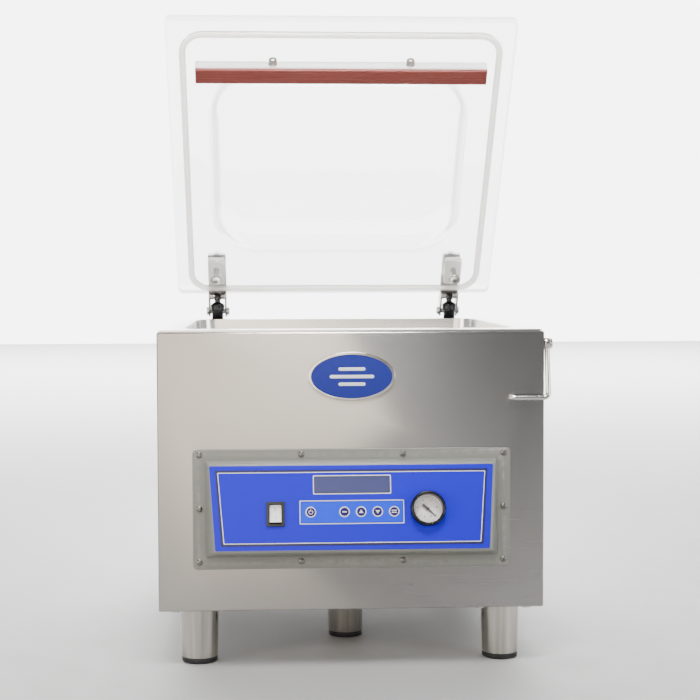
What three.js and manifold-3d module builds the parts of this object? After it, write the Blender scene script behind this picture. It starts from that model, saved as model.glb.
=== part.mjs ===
// Countertop vacuum chamber sealer: stainless cabinet on round legs, deep-drawn vacuum chamber, clear
// vaulted lid on two gas-sprung hinges, seal bar, pump, control bezel and a swinging lid hook.
//
// Millimetres, +Z up, the front faces -Y. Inside the cabinet group x is 0 on the centre line, y is 0 on
// the front panel and z is 0 on the underside of the cabinet; the whole is then centred on its footprint.
import * as THREE from 'three';
import { mergeVertices } from 'three/addons/utils/BufferGeometryUtils.js';
import Module from 'manifold-3d';

const wasm = await Module();
wasm.setup();

// ---------------------------------------------------------------- driving dimensions
const WIDTH = 490;             // cabinet
const DEPTH = 530;
const PANEL_TOP = 353;         // top of the front panel
const PLATE_TOP = 356;         // top of the chamber plate
const SHEET = 1.5;             // cabinet sheet thickness
const GAP = 0.3;               // clearance between pieces that touch
const LEG_HEIGHT = 73.5;
const LEG_TOP_R = 25;
const LEG_FOOT_R = 23.2;
const CAP_HEIGHT = 6.5;

// Openings in the back panel, and the tray that closes the open bottom and carries the legs.
const BACK_HALF = WIDTH / 2 - SHEET - GAP;
const INLET = { x: -165, z: 52, w: 48, h: 28 };
const EXHAUST = { x: 150, z: 62, r: 17 };
const LOUVRES = { rows: 7, low: 122, pitch: 15, x: 95, half: 45, slot: 2.5 };
const TRAY = { low: SHEET + GAP, under: 6, top: 8 };
const FLANGE = { half: 38, low: 2.2, bolt: 30, headR: 6.3 };
const LEGS = {
  front_left: [-195.3, 45], front_right: [195.3, 45], centre: [0, 178],
  rear_left: [-195.3, DEPTH - 48], rear_right: [195.3, DEPTH - 48],
};

const CHAMBER = { halfWidth: 212, front: 45, back: 458, radius: 28, floor: 266, wall: 2 };
const NOTCH = { half: 18, front: 477 };      // slots in the chamber plate for the hinges
const HINGE_X = 183.5;                       // hinge arms left and right of the centre line
const PIVOT = { y: 522, z: 367.5 };          // lid pivot
const LID_OPEN = THREE.MathUtils.degToRad(52.5);

// The lid is drawn closed and measured from its pivot: y forwards is negative, z up is positive.
const LID = { halfWidth: 244.8, back: -41, length: 475, under: -8, thick: 20, radius: 7 };
const LID_FRONT = LID.back - LID.length;
const LID_TOP = LID.under + LID.thick;
const DOME = { halfWidth: 175, back: -125, front: -411, radius: 62, depth: 48, wall: 12 };
const GASKET = { halfWidth: 222.2, back: -51.5, front: -495.4, radius: 29, width: 9, proud: 3, groove: 3 };
const BAR = { half: 204.6, y: -441.5, width: 27, strip: 22, stripThick: 5, bottom: -29.3, nutX: 96.3 };
const STUD_Y = -95;
const STUD_R = 4.5;
const ARM = { half: 14, side: 2.5, plateHalf: 14, thick: 2.5, plateBack: -14, plateFront: -104 };
const ARM_TOP = LID_TOP + GAP + ARM.thick;
const NUT_Z = LID.under - 9.5;               // thumb screws in the flank of the counter bar
const BLOCK = { half: 12.8, front: LID.back - 72, back: LID.back - 26.5, low: LID.under - GAP - 10 };

// Gas springs: top eye in the hinge arm (closed, from the pivot), lower anchor in the cabinet.
const SPRING_TOP = { y: -31, z: -2 };
const ANCHOR = { y: 503, z: 190 };
const SPRING_R = 9;
const ROD_R = 4;
const TUBE_LENGTH = 132;
const ANCHOR_R = 4;
const SLACK_R = 7.2;          // the rod's eye floats on its anchor through the middle of the stroke

// Control bezel: a flat flange with a drafted wedge whose face leans back.
const BEZEL = { halfWidth: 201.2, bottom: 53.6, top: 205.8, thick: 2.5, radius: 6 };
const WEDGE = { half: 186, bottom: 68.4, top: 193.2, wall: 3 };
const FACE_TOP = { y: -12.5, z: 188.2, half: 181 };
const FACE_BOTTOM = { y: -42, z: 80.6, half: 173 };
const FACE_LEAN = Math.atan2(FACE_TOP.y - FACE_BOTTOM.y, FACE_TOP.z - FACE_BOTTOM.z);
const FACE_HEIGHT = Math.hypot(FACE_TOP.y - FACE_BOTTOM.y, FACE_TOP.z - FACE_BOTTOM.z);
const OVERLAY = 0.5;
// Places on the face, from its centre: u to the right, v up the slope.
const DISPLAY = { u: -1.2, v: 28.8, w: 96.4, h: 22.6 };
const KEYPAD = { u: -1.9, v: -5.6, w: 131, h: 30 };
const BUTTONS = { power: -53.2, set: -11.2, up: 9.6, down: 30.3, stop: 51 };
const BUTTON = { v: -5.4, r: 6.6, travel: 0.6 };
const ROCKER = { u: -97.2, v: -7.4, w: 23, h: 31, pivotZ: -3.5, tilt: THREE.MathUtils.degToRad(9) };
const GAUGE = { u: 93.3, v: -2.5, r: 22, dialR: 18.2, proud: 11, rest: THREE.MathUtils.degToRad(-42) };

// Lift of the seal bar, its guides and the pump set.
const SEAL = { y: 80.5, half: 200, width: 18, bottom: 301, top: 329, guideX: 120, rodR: 5 };
const PUMP = { x0: -205, x1: -15, y0: 205, y1: 395, z0: 26.6, z1: 205, axisY: 300, axisZ: 122 };
const PUMP_INLET = { x: -95, y: 330 };
const MOTOR = { x0: PUMP.x1 - 8 + GAP, length: 165, r: 66 };
const VALVE = { x: 120, y: 400, portR: 11, z0: 205, z1: 258 };
const TRANSFORMER = { x: -165, y: 105 };
const BADGE = { z: 296.6, a: 55, b: 31 };
const HOOK = { y: 8, z: 337, rodR: 3.4, x: 249.5, barX: 201, barY: -4.2, barZ: 268.8 };

// ---------------------------------------------------------------- materials
const finish = (color, roughness, metalness) =>
  new THREE.MeshStandardMaterial({ color, roughness, metalness });
const STAINLESS = finish(0xb8b6b0, 0.35, 1);
const POLISHED = finish(0xc9c9c6, 0.18, 1);
const CLEAR = new THREE.MeshStandardMaterial({
  color: 0xe6eaea, roughness: 0.08, metalness: 0, transparent: true, opacity: 0.35 });
const WHITE_PLASTIC = finish(0xf2f2ee, 0.45, 0);
const BLACK_PLASTIC = finish(0x17181a, 0.5, 0);
const BEZEL_GREY = finish(0xa0a29b, 0.55, 0);
const OVERLAY_BLUE = finish(0x445ad2, 0.4, 0);
const KEYPAD_BLUE = finish(0x3c82e6, 0.4, 0);
const NAVY = finish(0x232a86, 0.4, 0);
const SILICONE_RED = finish(0x91412f, 0.6, 0);
const SILICONE_CREAM = finish(0xd9d3bf, 0.6, 0);
const SPRING_BLACK = finish(0x1c1d22, 0.3, 0.2);
const PAINTED_GREY = finish(0x6d7378, 0.5, 0.3);
const CAST = finish(0x8d9093, 0.6, 0.7);
const COPPER = finish(0xa06a3c, 0.45, 0.8);
const BOARD_GREEN = finish(0x1f5a38, 0.5, 0);
const BRASS = finish(0xb59a56, 0.35, 1);
const RUBBER = finish(0x1b1b1b, 0.85, 0);
const BADGE_BLUE = finish(0x2d50a5, 0.3, 0.1);

// ---------------------------------------------------------------- solids
// A closed three.js geometry as a manifold, with shared vertices merged and faces turned outwards.
function solid(geometry) {
  const bare = geometry.clone();
  bare.deleteAttribute('normal');
  bare.deleteAttribute('uv');
  const merged = mergeVertices(bare, 1e-4);
  const p = merged.attributes.position;
  const index = merged.index.array;
  const tris = [];
  let volume = 0;
  const [a, b, c] = [new THREE.Vector3(), new THREE.Vector3(), new THREE.Vector3()];
  for (let i = 0; i < index.length; i += 3) {
    const [i0, i1, i2] = [index[i], index[i + 1], index[i + 2]];
    if (i0 === i1 || i1 === i2 || i2 === i0) continue;
    tris.push([i0, i1, i2]);
    volume += a.fromBufferAttribute(p, i0).dot(
      b.fromBufferAttribute(p, i1).cross(c.fromBufferAttribute(p, i2)));
  }
  const triVerts = new Uint32Array(tris.flatMap(([i, j, k]) => (volume > 0 ? [i, j, k] : [i, k, j])));
  const vertProperties = new Float32Array(p.array);
  return new wasm.Manifold(new wasm.Mesh({ numProp: 3, vertProperties, triVerts }));
}

function geometryOf(manifold) {
  const mesh = manifold.getMesh();
  const geometry = new THREE.BufferGeometry();
  const position = new Float32Array((mesh.vertProperties.length / mesh.numProp) * 3);
  for (let i = 0; i < position.length / 3; i++) {
    position.set(mesh.vertProperties.subarray(i * mesh.numProp, i * mesh.numProp + 3), i * 3);
  }
  geometry.setAttribute('position', new THREE.BufferAttribute(position, 3));
  geometry.setIndex(new THREE.BufferAttribute(new Uint32Array(mesh.triVerts), 1));
  geometry.computeVertexNormals();
  return geometry;
}

const join = (...parts) => parts.reduce((whole, part) => whole.add(part));
const cut = (whole, ...tools) => tools.reduce((rest, tool) => rest.subtract(tool), whole);

function box([x0, x1], [y0, y1], [z0, z1]) {
  const geometry = new THREE.BoxGeometry(x1 - x0, y1 - y0, z1 - z0);
  return solid(geometry.translate((x0 + x1) / 2, (y0 + y1) / 2, (z0 + z1) / 2));
}

// A round bar, or a cone, from one point to another.
function rod(from, to, r, rEnd = r, sides = 12) {
  const start = new THREE.Vector3(...from);
  const along = new THREE.Vector3(...to).sub(start);
  const geometry = new THREE.CylinderGeometry(rEnd, r, along.length(), sides);
  geometry.translate(0, along.length() / 2, 0);
  geometry.applyQuaternion(new THREE.Quaternion().setFromUnitVectors(
    new THREE.Vector3(0, 1, 0), along.clone().normalize()));
  return solid(geometry.translate(...start.toArray()));
}

// A turned piece: profile of [radius, height] that starts and ends on the axis, turned about a line
// that leaves the point `at` along `axis`.
function turned(profile, at, axis, sides = 16) {
  const points = profile.map(([r, h]) => new THREE.Vector2(r, h));
  const geometry = new THREE.LatheGeometry(points, sides);
  geometry.applyQuaternion(new THREE.Quaternion().setFromUnitVectors(
    new THREE.Vector3(0, 1, 0), new THREE.Vector3(...axis).normalize()));
  return solid(geometry.translate(...at));
}

// A flat outline given as [a, b] pairs, swept along x (a is y, b is z), y (x, z) or z (x, y).
function prism(outline, along, from, to, curveSegments = 12) {
  const shape = outline instanceof THREE.Shape
    ? outline : new THREE.Shape(outline.map(([a, b]) => new THREE.Vector2(a, b)));
  const geometry = new THREE.ExtrudeGeometry(shape, { depth: to - from, bevelEnabled: false, curveSegments });
  geometry.translate(0, 0, from);
  const turn = {
    z: new THREE.Matrix4(),
    x: new THREE.Matrix4().makeBasis(
      new THREE.Vector3(0, 1, 0), new THREE.Vector3(0, 0, 1), new THREE.Vector3(1, 0, 0)),
    y: new THREE.Matrix4().makeBasis(
      new THREE.Vector3(1, 0, 0), new THREE.Vector3(0, 0, 1), new THREE.Vector3(0, 1, 0)),
  }[along];
  return solid(geometry.applyMatrix4(turn));
}

function roundedRect(x0, x1, y0, y1, r) {
  const shape = new THREE.Shape();
  shape.moveTo(x0 + r, y0);
  shape.lineTo(x1 - r, y0);
  shape.absarc(x1 - r, y0 + r, r, -Math.PI / 2, 0, false);
  shape.lineTo(x1, y1 - r);
  shape.absarc(x1 - r, y1 - r, r, 0, Math.PI / 2, false);
  shape.lineTo(x0 + r, y1);
  shape.absarc(x0 + r, y1 - r, r, Math.PI / 2, Math.PI, false);
  shape.lineTo(x0, y0 + r);
  shape.absarc(x0 + r, y0 + r, r, Math.PI, 1.5 * Math.PI, false);
  return shape;
}

// A closed skin through level rounded rectangles. Each level is { z, x0, x1, y0, y1, r }.
function loft(levels, perCorner = 4) {
  const rings = levels.map((s) => {
    const ring = [];
    const corners = [[s.x1, s.y0, -0.5], [s.x1, s.y1, 0], [s.x0, s.y1, 0.5], [s.x0, s.y0, 1]];
    for (const [x, y, start] of corners) {
      const cx = x === s.x1 ? x - s.r : x + s.r;
      const cy = y === s.y1 ? y - s.r : y + s.r;
      for (let i = 0; i <= perCorner; i++) {
        const t = Math.PI * (start + i / perCorner / 2);
        ring.push([cx + s.r * Math.cos(t), cy + s.r * Math.sin(t), s.z]);
      }
    }
    return ring;
  });
  const n = rings[0].length;
  const last = (rings.length - 1) * n;
  const index = [];
  for (let k = 0; k < rings.length - 1; k++) {
    for (let i = 0; i < n; i++) {
      const [a, b] = [k * n + i, k * n + ((i + 1) % n)];
      index.push(a, b, b + n, a, b + n, a + n);
    }
  }
  for (let i = 1; i < n - 1; i++) {
    index.push(0, i + 1, i);
    index.push(last, last + i, last + i + 1);
  }
  const geometry = new THREE.BufferGeometry();
  geometry.setAttribute('position', new THREE.Float32BufferAttribute(rings.flat(2), 3));
  geometry.setIndex(index);
  return solid(geometry);
}

const inset = (s, by, z, r = s.r) =>
  ({ z, x0: s.x0 + by, x1: s.x1 - by, y0: s.y0 + by, y1: s.y1 - by, r: Math.max(r, 0.5) });

// A solid body swept along a smooth curve through the points.
function hose(points, r, steps, sides = 8) {
  const path = new THREE.CatmullRomCurve3(points.map((p) => new THREE.Vector3(...p)));
  const section = new THREE.Shape();
  for (let i = 0; i < sides; i++) {
    const t = (i / sides) * 2 * Math.PI;
    section[i ? 'lineTo' : 'moveTo'](r * Math.cos(t), r * Math.sin(t));
  }
  return solid(new THREE.ExtrudeGeometry(section, { steps, bevelEnabled: false, extrudePath: path }));
}

function node(name, manifold, material) {
  const mesh = new THREE.Mesh(geometryOf(manifold), material);
  mesh.name = name;
  return mesh;
}

const mirrored = [['left', -1], ['right', 1]];
const midFace = {
  y: (FACE_TOP.y + FACE_BOTTOM.y) / 2,
  z: (FACE_TOP.z + FACE_BOTTOM.z) / 2,
};

// ---------------------------------------------------------------- cabinet
function bodyShell() {
  const half = WIDTH / 2;
  const outer = box([-half, half], [0, DEPTH], [0, PANEL_TOP]);
  const inside = box([-half + SHEET, half - SHEET], [SHEET, DEPTH + 1], [SHEET, PANEL_TOP - SHEET]);
  const lip = 14;              // folded rims round the open top and back
  const lowLip = 8;            // and round the open bottom
  const openTop = box([-half + lip, half - lip], [lip, DEPTH + 1], [PANEL_TOP - 5, PANEL_TOP + 1]);
  const openBottom = box([-half + lowLip, half - lowLip], [lowLip, DEPTH + 1], [-1, 5]);
  const window = box([-WEDGE.half + 7, WEDGE.half - 7], [-1, SHEET + 1], [WEDGE.bottom + 7, WEDGE.top - 7]);
  const backRims = mirrored.map(([, s]) => box(
    [Math.min(s * (half - lip), s * (half - SHEET / 2)), Math.max(s * (half - lip), s * (half - SHEET / 2))],
    [DEPTH - 2 * SHEET - GAP, DEPTH - SHEET - GAP], [SHEET / 2, PANEL_TOP - SHEET / 2]));
  return join(cut(outer, inside, openTop, openBottom, window), ...backRims);
}

function backPanel() {
  const panel = box([-BACK_HALF, BACK_HALF], [DEPTH - SHEET, DEPTH], [SHEET + GAP, PANEL_TOP - SHEET - GAP]);
  const cuts = [];
  for (const [, s] of mirrored) {
    cuts.push(box([s * HINGE_X - NOTCH.half, s * HINGE_X + NOTCH.half], [DEPTH - 5, DEPTH + 1], [336, 360]));
    for (let row = 0; row < LOUVRES.rows; row++) {
      const z = LOUVRES.low + row * LOUVRES.pitch;
      const x = s * LOUVRES.x;
      cuts.push(box([x - LOUVRES.half, x + LOUVRES.half], [DEPTH - 5, DEPTH + 1],
        [z - LOUVRES.slot, z + LOUVRES.slot]));
    }
  }
  cuts.push(box([INLET.x - INLET.w / 2, INLET.x + INLET.w / 2], [DEPTH - 5, DEPTH + 1],
    [INLET.z - INLET.h / 2, INLET.z + INLET.h / 2]));
  cuts.push(rod([EXHAUST.x, DEPTH - 5, EXHAUST.z], [EXHAUST.x, DEPTH + 1, EXHAUST.z], EXHAUST.r));
  return cut(panel, ...cuts);
}

// A shallow tray upside down on the folded rims; the legs bolt to its underside.
function baseTray() {
  const half = WIDTH / 2 - SHEET - 1;
  const [front, back] = [SHEET + 1, DEPTH - 3 * SHEET - 1];
  const tray = box([-half, half], [front, back], [TRAY.low, TRAY.top]);
  const under = box([-half + 2, half - 2], [front + 2, back - 2], [TRAY.low - 1, TRAY.under]);
  const slots = [];
  for (let i = 0; i < 12; i++) {
    const x = 40 + i * 13;
    slots.push(box([x, x + 6], [250, 350], [0, TRAY.top + 1]));
  }
  return cut(tray, under, ...slots);
}

// Tapered tube under a square flange with four bolt heads.
function leg([x, y]) {
  const low = -LEG_HEIGHT + CAP_HEIGHT + GAP;
  const tube = turned([[0, FLANGE.low + 1], [LEG_TOP_R, FLANGE.low + 1], [LEG_FOOT_R, low], [0, low]],
    [x, y, 0], [0, 0, 1]);
  const flange = box([x - FLANGE.half, x + FLANGE.half], [y - FLANGE.half, y + FLANGE.half],
    [FLANGE.low, TRAY.under - GAP]);
  const bolts = [-1, 1].flatMap((i) => [-1, 1].map((j) => turned(
    [[0, -5.4], [3.5, -5], [FLANGE.headR, -2.4], [FLANGE.headR, FLANGE.low + 1], [0, FLANGE.low + 1]],
    [x + i * FLANGE.bolt, y + j * FLANGE.bolt, 0], [0, 0, 1], 8)));
  return join(tube, flange, ...bolts);
}

function legCap([x, y]) {
  const top = -LEG_HEIGHT + CAP_HEIGHT;
  return turned([[0, top], [LEG_FOOT_R, top], [LEG_FOOT_R, -LEG_HEIGHT + 3.5],
    [LEG_FOOT_R - 3.2, -LEG_HEIGHT], [0, -LEG_HEIGHT]], [x, y, 0], [0, 0, 1]);
}

// ---------------------------------------------------------------- vacuum chamber
function chamberTank() {
  const plate = { x0: -243, x1: 243, y0: 2.2, y1: DEPTH - 2, r: 4 };
  const top = loft([inset(plate, 0, PANEL_TOP + GAP), inset(plate, 0, PLATE_TOP - 1.6),
    inset(plate, 0.5, PLATE_TOP - 0.5), inset(plate, 1.6, PLATE_TOP)], 2);
  const mouth = { x0: -CHAMBER.halfWidth, x1: CHAMBER.halfWidth, y0: CHAMBER.front, y1: CHAMBER.back,
    r: CHAMBER.radius };
  const inner = loft([inset(mouth, -6, PLATE_TOP + 1), inset(mouth, -5, PLATE_TOP),
    inset(mouth, -1.5, PLATE_TOP - 2), inset(mouth, 0, PLATE_TOP - 6),
    inset(mouth, 4, CHAMBER.floor + 14, 26),
    inset(mouth, 8, CHAMBER.floor + 4, 24), inset(mouth, 18, CHAMBER.floor, 20)]);
  const w = CHAMBER.wall;
  const outer = loft([inset(mouth, -w, PLATE_TOP - 2), inset(mouth, 4 - w, CHAMBER.floor + 14, 28),
    inset(mouth, 7 - w, CHAMBER.floor + 3, 26), inset(mouth, 17 - w, CHAMBER.floor - w, 22)]);
  const notches = mirrored.map(([, s]) => box([s * HINGE_X - NOTCH.half, s * HINGE_X + NOTCH.half],
    [NOTCH.front, DEPTH + 1], [PANEL_TOP - 5, PLATE_TOP + 1]));
  const guides = mirrored.map(([, s]) => rod([s * SEAL.guideX, SEAL.y, 250], [s * SEAL.guideX, SEAL.y, 280],
    SEAL.rodR + 1));
  const port = rod([VALVE.x, VALVE.y, 250], [VALVE.x, VALVE.y, 280], VALVE.portR + 0.5);
  return cut(join(top, outer), inner, ...notches, ...guides, port);
}

// The seal bar stands on two guide rods that slide in the lift cylinders.
function sealBar() {
  const w = SEAL.width / 2;
  const profile = [[-w, SEAL.bottom], [w, SEAL.bottom], [w, SEAL.top - 3], [w - 3, SEAL.top],
    [-w + 3, SEAL.top], [-w, SEAL.top - 3]].map(([y, z]) => [SEAL.y + y, z]);
  const rods = mirrored.map(([, s]) => rod([s * SEAL.guideX, SEAL.y, 218],
    [s * SEAL.guideX, SEAL.y, SEAL.bottom + 2], SEAL.rodR, SEAL.rodR, 12));
  return join(prism(profile, 'x', -SEAL.half, SEAL.half), ...rods);
}

// Two lift cylinders on a common bridge under the chamber floor.
function liftUnit() {
  const under = CHAMBER.floor - CHAMBER.wall - GAP;
  const bridge = box([-SEAL.guideX, SEAL.guideX], [SEAL.y - 14, SEAL.y + 14], [under - 9, under - 5]);
  const cylinders = mirrored.map(([, s]) => turned([[0, 200], [19, 200], [21, 203], [21, under - 9],
    [27, under - 9], [27, under], [0, under]], [s * SEAL.guideX, SEAL.y, 0], [0, 0, 1], 14));
  const bores = mirrored.map(([, s]) => rod([s * SEAL.guideX, SEAL.y, 206], [s * SEAL.guideX, SEAL.y, 280],
    SEAL.rodR + 0.5));
  return cut(join(bridge, ...cylinders), ...bores);
}

// ---------------------------------------------------------------- lid, drawn closed round its pivot
const studHole = (x) => rod([x, STUD_Y, LID.under - 20], [x, STUD_Y, LID_TOP + 20], STUD_R + 0.4);

function lid() {
  const plate = { x0: -LID.halfWidth, x1: LID.halfWidth, y0: LID_FRONT, y1: LID.back, r: LID.radius };
  const slab = loft([inset(plate, 1.2, LID.under), inset(plate, 0, LID.under + 1.2),
    inset(plate, 0, LID_TOP - 2.5), inset(plate, 2.5, LID_TOP)], 2);
  const mouth = { x0: -DOME.halfWidth, x1: DOME.halfWidth, y0: DOME.front, y1: DOME.back, r: DOME.radius };
  const d = DOME.depth;
  const hollow = loft([inset(mouth, -8, LID.under - 1), inset(mouth, -6, LID.under),
    inset(mouth, -1.5, LID.under + 4), inset(mouth, 3, LID.under + 14),
    inset(mouth, 8, LID.under + d * 0.6, 58),
    inset(mouth, 16, LID.under + d * 0.83, 52), inset(mouth, 34, LID.under + d * 0.96, 40),
    inset(mouth, 62, LID.under + d, 24)]);
  const w = DOME.wall;
  const crown = LID.under + d + w;
  const vault = loft([inset(mouth, -w - 2, LID_TOP - 2, 70), inset(mouth, -w, LID_TOP + 3, 70),
    inset(mouth, 1 - w, LID_TOP + 14, 68), inset(mouth, 5 - w, crown - 16, 64),
    inset(mouth, 14 - w, crown - 6, 58), inset(mouth, 32 - w, crown - 1.2, 44),
    inset(mouth, 60 - w, crown, 30)]);
  const side = GASKET.width / 2 + GAP;
  const groove = cut(prism(gasketRing(side), 'z', LID.under - 1, LID.under + GASKET.groove, 5),
    prism(gasketRing(-side), 'z', LID.under - 2, LID.under + GASKET.groove + 1, 5));
  const holes = mirrored.map(([, s]) => studHole(s * HINGE_X));
  return cut(join(slab, vault), hollow, groove, ...holes);
}

const gasketRing = (side) => roundedRect(-GASKET.halfWidth - side, GASKET.halfWidth + side,
  GASKET.front - side, GASKET.back + side, GASKET.radius + side);

// Flat in its groove, with a narrower crown below the lid.
function lidGasket() {
  const slice = (z0, z1, half) => cut(prism(gasketRing(half), 'z', z0, z1, 5),
    prism(gasketRing(-half), 'z', z0 - 1, z1 + 1, 5));
  const foot = LID.under - GASKET.proud;
  return join(slice(foot + 1.4, LID.under + GASKET.groove - GAP, GASKET.width / 2),
    slice(foot, foot + 1.5, GASKET.width / 2 - 1));
}

function counterHolder() {
  const w = BAR.width / 2;
  const low = BAR.bottom + BAR.stripThick + GAP;
  const body = box([-BAR.half, BAR.half], [BAR.y - w, BAR.y + w], [low, LID.under - GAP]);
  const holes = mirrored.map(([, s]) =>
    rod([s * BAR.nutX, BAR.y - w - 1, NUT_Z], [s * BAR.nutX, BAR.y, NUT_Z], 3.4));
  return cut(body, ...holes);
}

function counterStrip() {
  const w = BAR.strip / 2;
  const top = BAR.bottom + BAR.stripThick;
  return prism([[BAR.y - w, BAR.bottom + 0.8], [BAR.y - w + 0.8, BAR.bottom], [BAR.y + w - 0.8, BAR.bottom],
    [BAR.y + w, BAR.bottom + 0.8], [BAR.y + w, top], [BAR.y - w, top]], 'x', -BAR.half + 0.5, BAR.half - 0.5);
}

// Domed thumb screw in the front flank of the counter bar.
function counterNut(s) {
  const flank = BAR.y - BAR.width / 2 - GAP;
  return turned([[0, -10], [3, -10], [3, 0], [6.4, 0], [6.4, 1.2], [5.8, 1.6], [5.8, 7.4], [4.9, 9],
    [2.8, 9.8], [0, 10]], [s * BAR.nutX, flank, NUT_Z], [0, -1, 0], 12);
}

function hingeBlock(s) {
  const x = s * HINGE_X;
  const body = prism(roundedRect(x - BLOCK.half, x + BLOCK.half, BLOCK.front, BLOCK.back, 3), 'z',
    BLOCK.low, LID.under - GAP, 4);
  return cut(body, studHole(x));
}

// Round-headed stud through block, lid and arm, with a cap nut on top.
function hingeStud(s) {
  const { low } = BLOCK;
  return turned([[0, low - 27], [8, low - 27], [9, low - 26], [9, low - 22.5], [8.4, low - 22],
    [STUD_R, low - 22], [STUD_R, ARM_TOP + GAP], [8, ARM_TOP + GAP], [8, ARM_TOP + 6],
    [5.5, ARM_TOP + 9], [0, ARM_TOP + 10]],
  [s * HINGE_X, STUD_Y, 0], [0, 0, 1], 12);
}

function hingeArm(s) {
  const x = s * HINGE_X;
  const plate = box([x - ARM.plateHalf, x + ARM.plateHalf], [ARM.plateFront, LID.back + 3],
    [LID_TOP + GAP, ARM_TOP]);
  const web = box([x - ARM.half, x + ARM.half], [LID.back, ARM.plateBack], [LID_TOP + GAP, ARM_TOP]);
  const cheek = new THREE.Shape();
  cheek.moveTo(LID.back + 2.5, ARM_TOP);
  cheek.lineTo(LID.back + 2.5, -6);
  cheek.lineTo(-34, -9.5);
  cheek.lineTo(-2, -9.2);
  cheek.absarc(0, 0, 9.2, -Math.PI / 2, Math.PI / 2, false);
  cheek.lineTo(ARM.plateBack, ARM_TOP);
  const sides = [[-ARM.half, -ARM.half + ARM.side], [ARM.half - ARM.side, ARM.half]]
    .map(([a, b]) => prism(cheek, 'x', x + a, x + b, 6));
  const pin = rod([x - ARM.half, SPRING_TOP.y, SPRING_TOP.z],
    [x + ARM.half, SPRING_TOP.y, SPRING_TOP.z], 3, 3, 10);
  const pivot = rod([x - 30, 0, 0], [x + 30, 0, 0], 4.4, 4.4, 12);
  return cut(join(plate, web, ...sides, pin), pivot, studHole(x));
}

function pivotBolt(s) {
  return turned([[0, -18.4], [5, -18], [6.8, -17.2], [6.8, -ARM.half - GAP], [4, -ARM.half - GAP],
    [4, ARM.half + GAP], [6.8, ARM.half + GAP], [6.8, 18], [0, 18]], [s * HINGE_X, 0, 0], [1, 0, 0], 12);
}

// ---------------------------------------------------------------- hinge brackets and gas springs
function hingeBracket(s) {
  const x = s * HINGE_X;
  const face = DEPTH - SHEET - GAP;
  const plate = box([x - 30, x + 30], [face - 3.5, face], [172, 332]);
  const lug = new THREE.Shape();
  lug.moveTo(face - 2, 250);
  lug.lineTo(face - 2, PIVOT.z);
  lug.absarc(PIVOT.y, PIVOT.z, 7.4, 0, Math.PI, false);
  lug.lineTo(PIVOT.y - 7.4, 300);
  lug.lineTo(face - 2, 250);
  const cheek = [[face - 2, 175], [face - 2, 215], [ANCHOR.y, ANCHOR.z + 10], [ANCHOR.y - 9, ANCHOR.z],
    [ANCHOR.y, ANCHOR.z - 9]];
  const cheeks = [[-10.5, -7], [7, 10.5]].map(([a, b]) => prism(cheek, 'x', x + a, x + b));
  const anchor = rod([x - 10, ANCHOR.y, ANCHOR.z], [x + 10, ANCHOR.y, ANCHOR.z], ANCHOR_R, ANCHOR_R, 10);
  const bore = rod([x - 10, PIVOT.y, PIVOT.z], [x + 10, PIVOT.y, PIVOT.z], 4.4, 4.4, 12);
  return cut(join(plate, prism(lug, 'x', x - 5.5, x + 5.5, 8), ...cheeks, anchor), bore);
}

// Springs are drawn hanging straight down from their top eye.
function gasTube() {
  const shell = turned([[0, -TUBE_LENGTH], [SPRING_R, -TUBE_LENGTH], [SPRING_R, -24], [11, -23], [11, -13],
    [4.5, -9], [0, -9]], [0, 0, 0], [0, 0, 1], 12);
  const bore = rod([0, 0, -TUBE_LENGTH - 1], [0, 0, -50], ROD_R + 0.5, ROD_R + 0.5, 10);
  const eye = join(rod([-5, 0, 0], [5, 0, 0], 6.2), rod([0, 0, -11], [0, 0, -3], 4.5));
  return cut(join(shell, eye), bore, rod([-6, 0, 0], [6, 0, 0], 3.4, 3.4, 10));
}

const openArm = new THREE.Vector2(SPRING_TOP.y, SPRING_TOP.z).rotateAround(new THREE.Vector2(), -LID_OPEN);
const springTop = { y: PIVOT.y + openArm.x, z: PIVOT.z + openArm.y };
const springSpan = Math.hypot(springTop.y - ANCHOR.y, springTop.z - ANCHOR.z);
const springLean = Math.atan2(ANCHOR.y - springTop.y, springTop.z - ANCHOR.z);

function gasRod() {
  const bar = rod([0, 0, -springSpan + 6], [0, 0, -springSpan + 118], ROD_R, ROD_R, 12);
  const eye = rod([-5, 0, -springSpan], [5, 0, -springSpan], SLACK_R + 3, SLACK_R + 3, 16);
  const slack = rod([-6, 0, -springSpan], [6, 0, -springSpan], SLACK_R, SLACK_R, 14);
  return cut(join(bar, eye), slack);
}

// ---------------------------------------------------------------- control bezel
// A drafted block with a leaning front face, grown by `by` on all sides.
function wedgeBlock(by, back) {
  const face = (p, up) => [p.y - by * 0.95, p.z + up * by * 0.6, p.half + by * 0.8];
  const [ty, tz, tx] = face(FACE_TOP, 1);
  const [by2, bz, bx] = face(FACE_BOTTOM, -1);
  const b = WEDGE.half + by;
  const [z0, z1] = [WEDGE.bottom - by, WEDGE.top + by];
  const corners = [[-b, back, z0], [b, back, z0], [b, back, z1], [-b, back, z1],
    [-bx, by2, bz], [bx, by2, bz], [tx, ty, tz], [-tx, ty, tz]];
  const index = [0, 1, 2, 0, 2, 3, 4, 6, 5, 4, 7, 6, 0, 4, 5, 0, 5, 1, 1, 5, 6, 1, 6, 2, 2, 6, 7, 2, 7, 3,
    3, 7, 4, 3, 4, 0];
  const geometry = new THREE.BufferGeometry();
  geometry.setAttribute('position', new THREE.Float32BufferAttribute(corners.flat(), 3));
  geometry.setIndex(index);
  return solid(geometry);
}

const faceFrame = new THREE.Matrix4()
  .makeRotationX(Math.PI / 2 - FACE_LEAN)
  .setPosition(0, midFace.y, midFace.z);
const onFace = (geometry) => solid(geometry.applyMatrix4(faceFrame));

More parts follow.
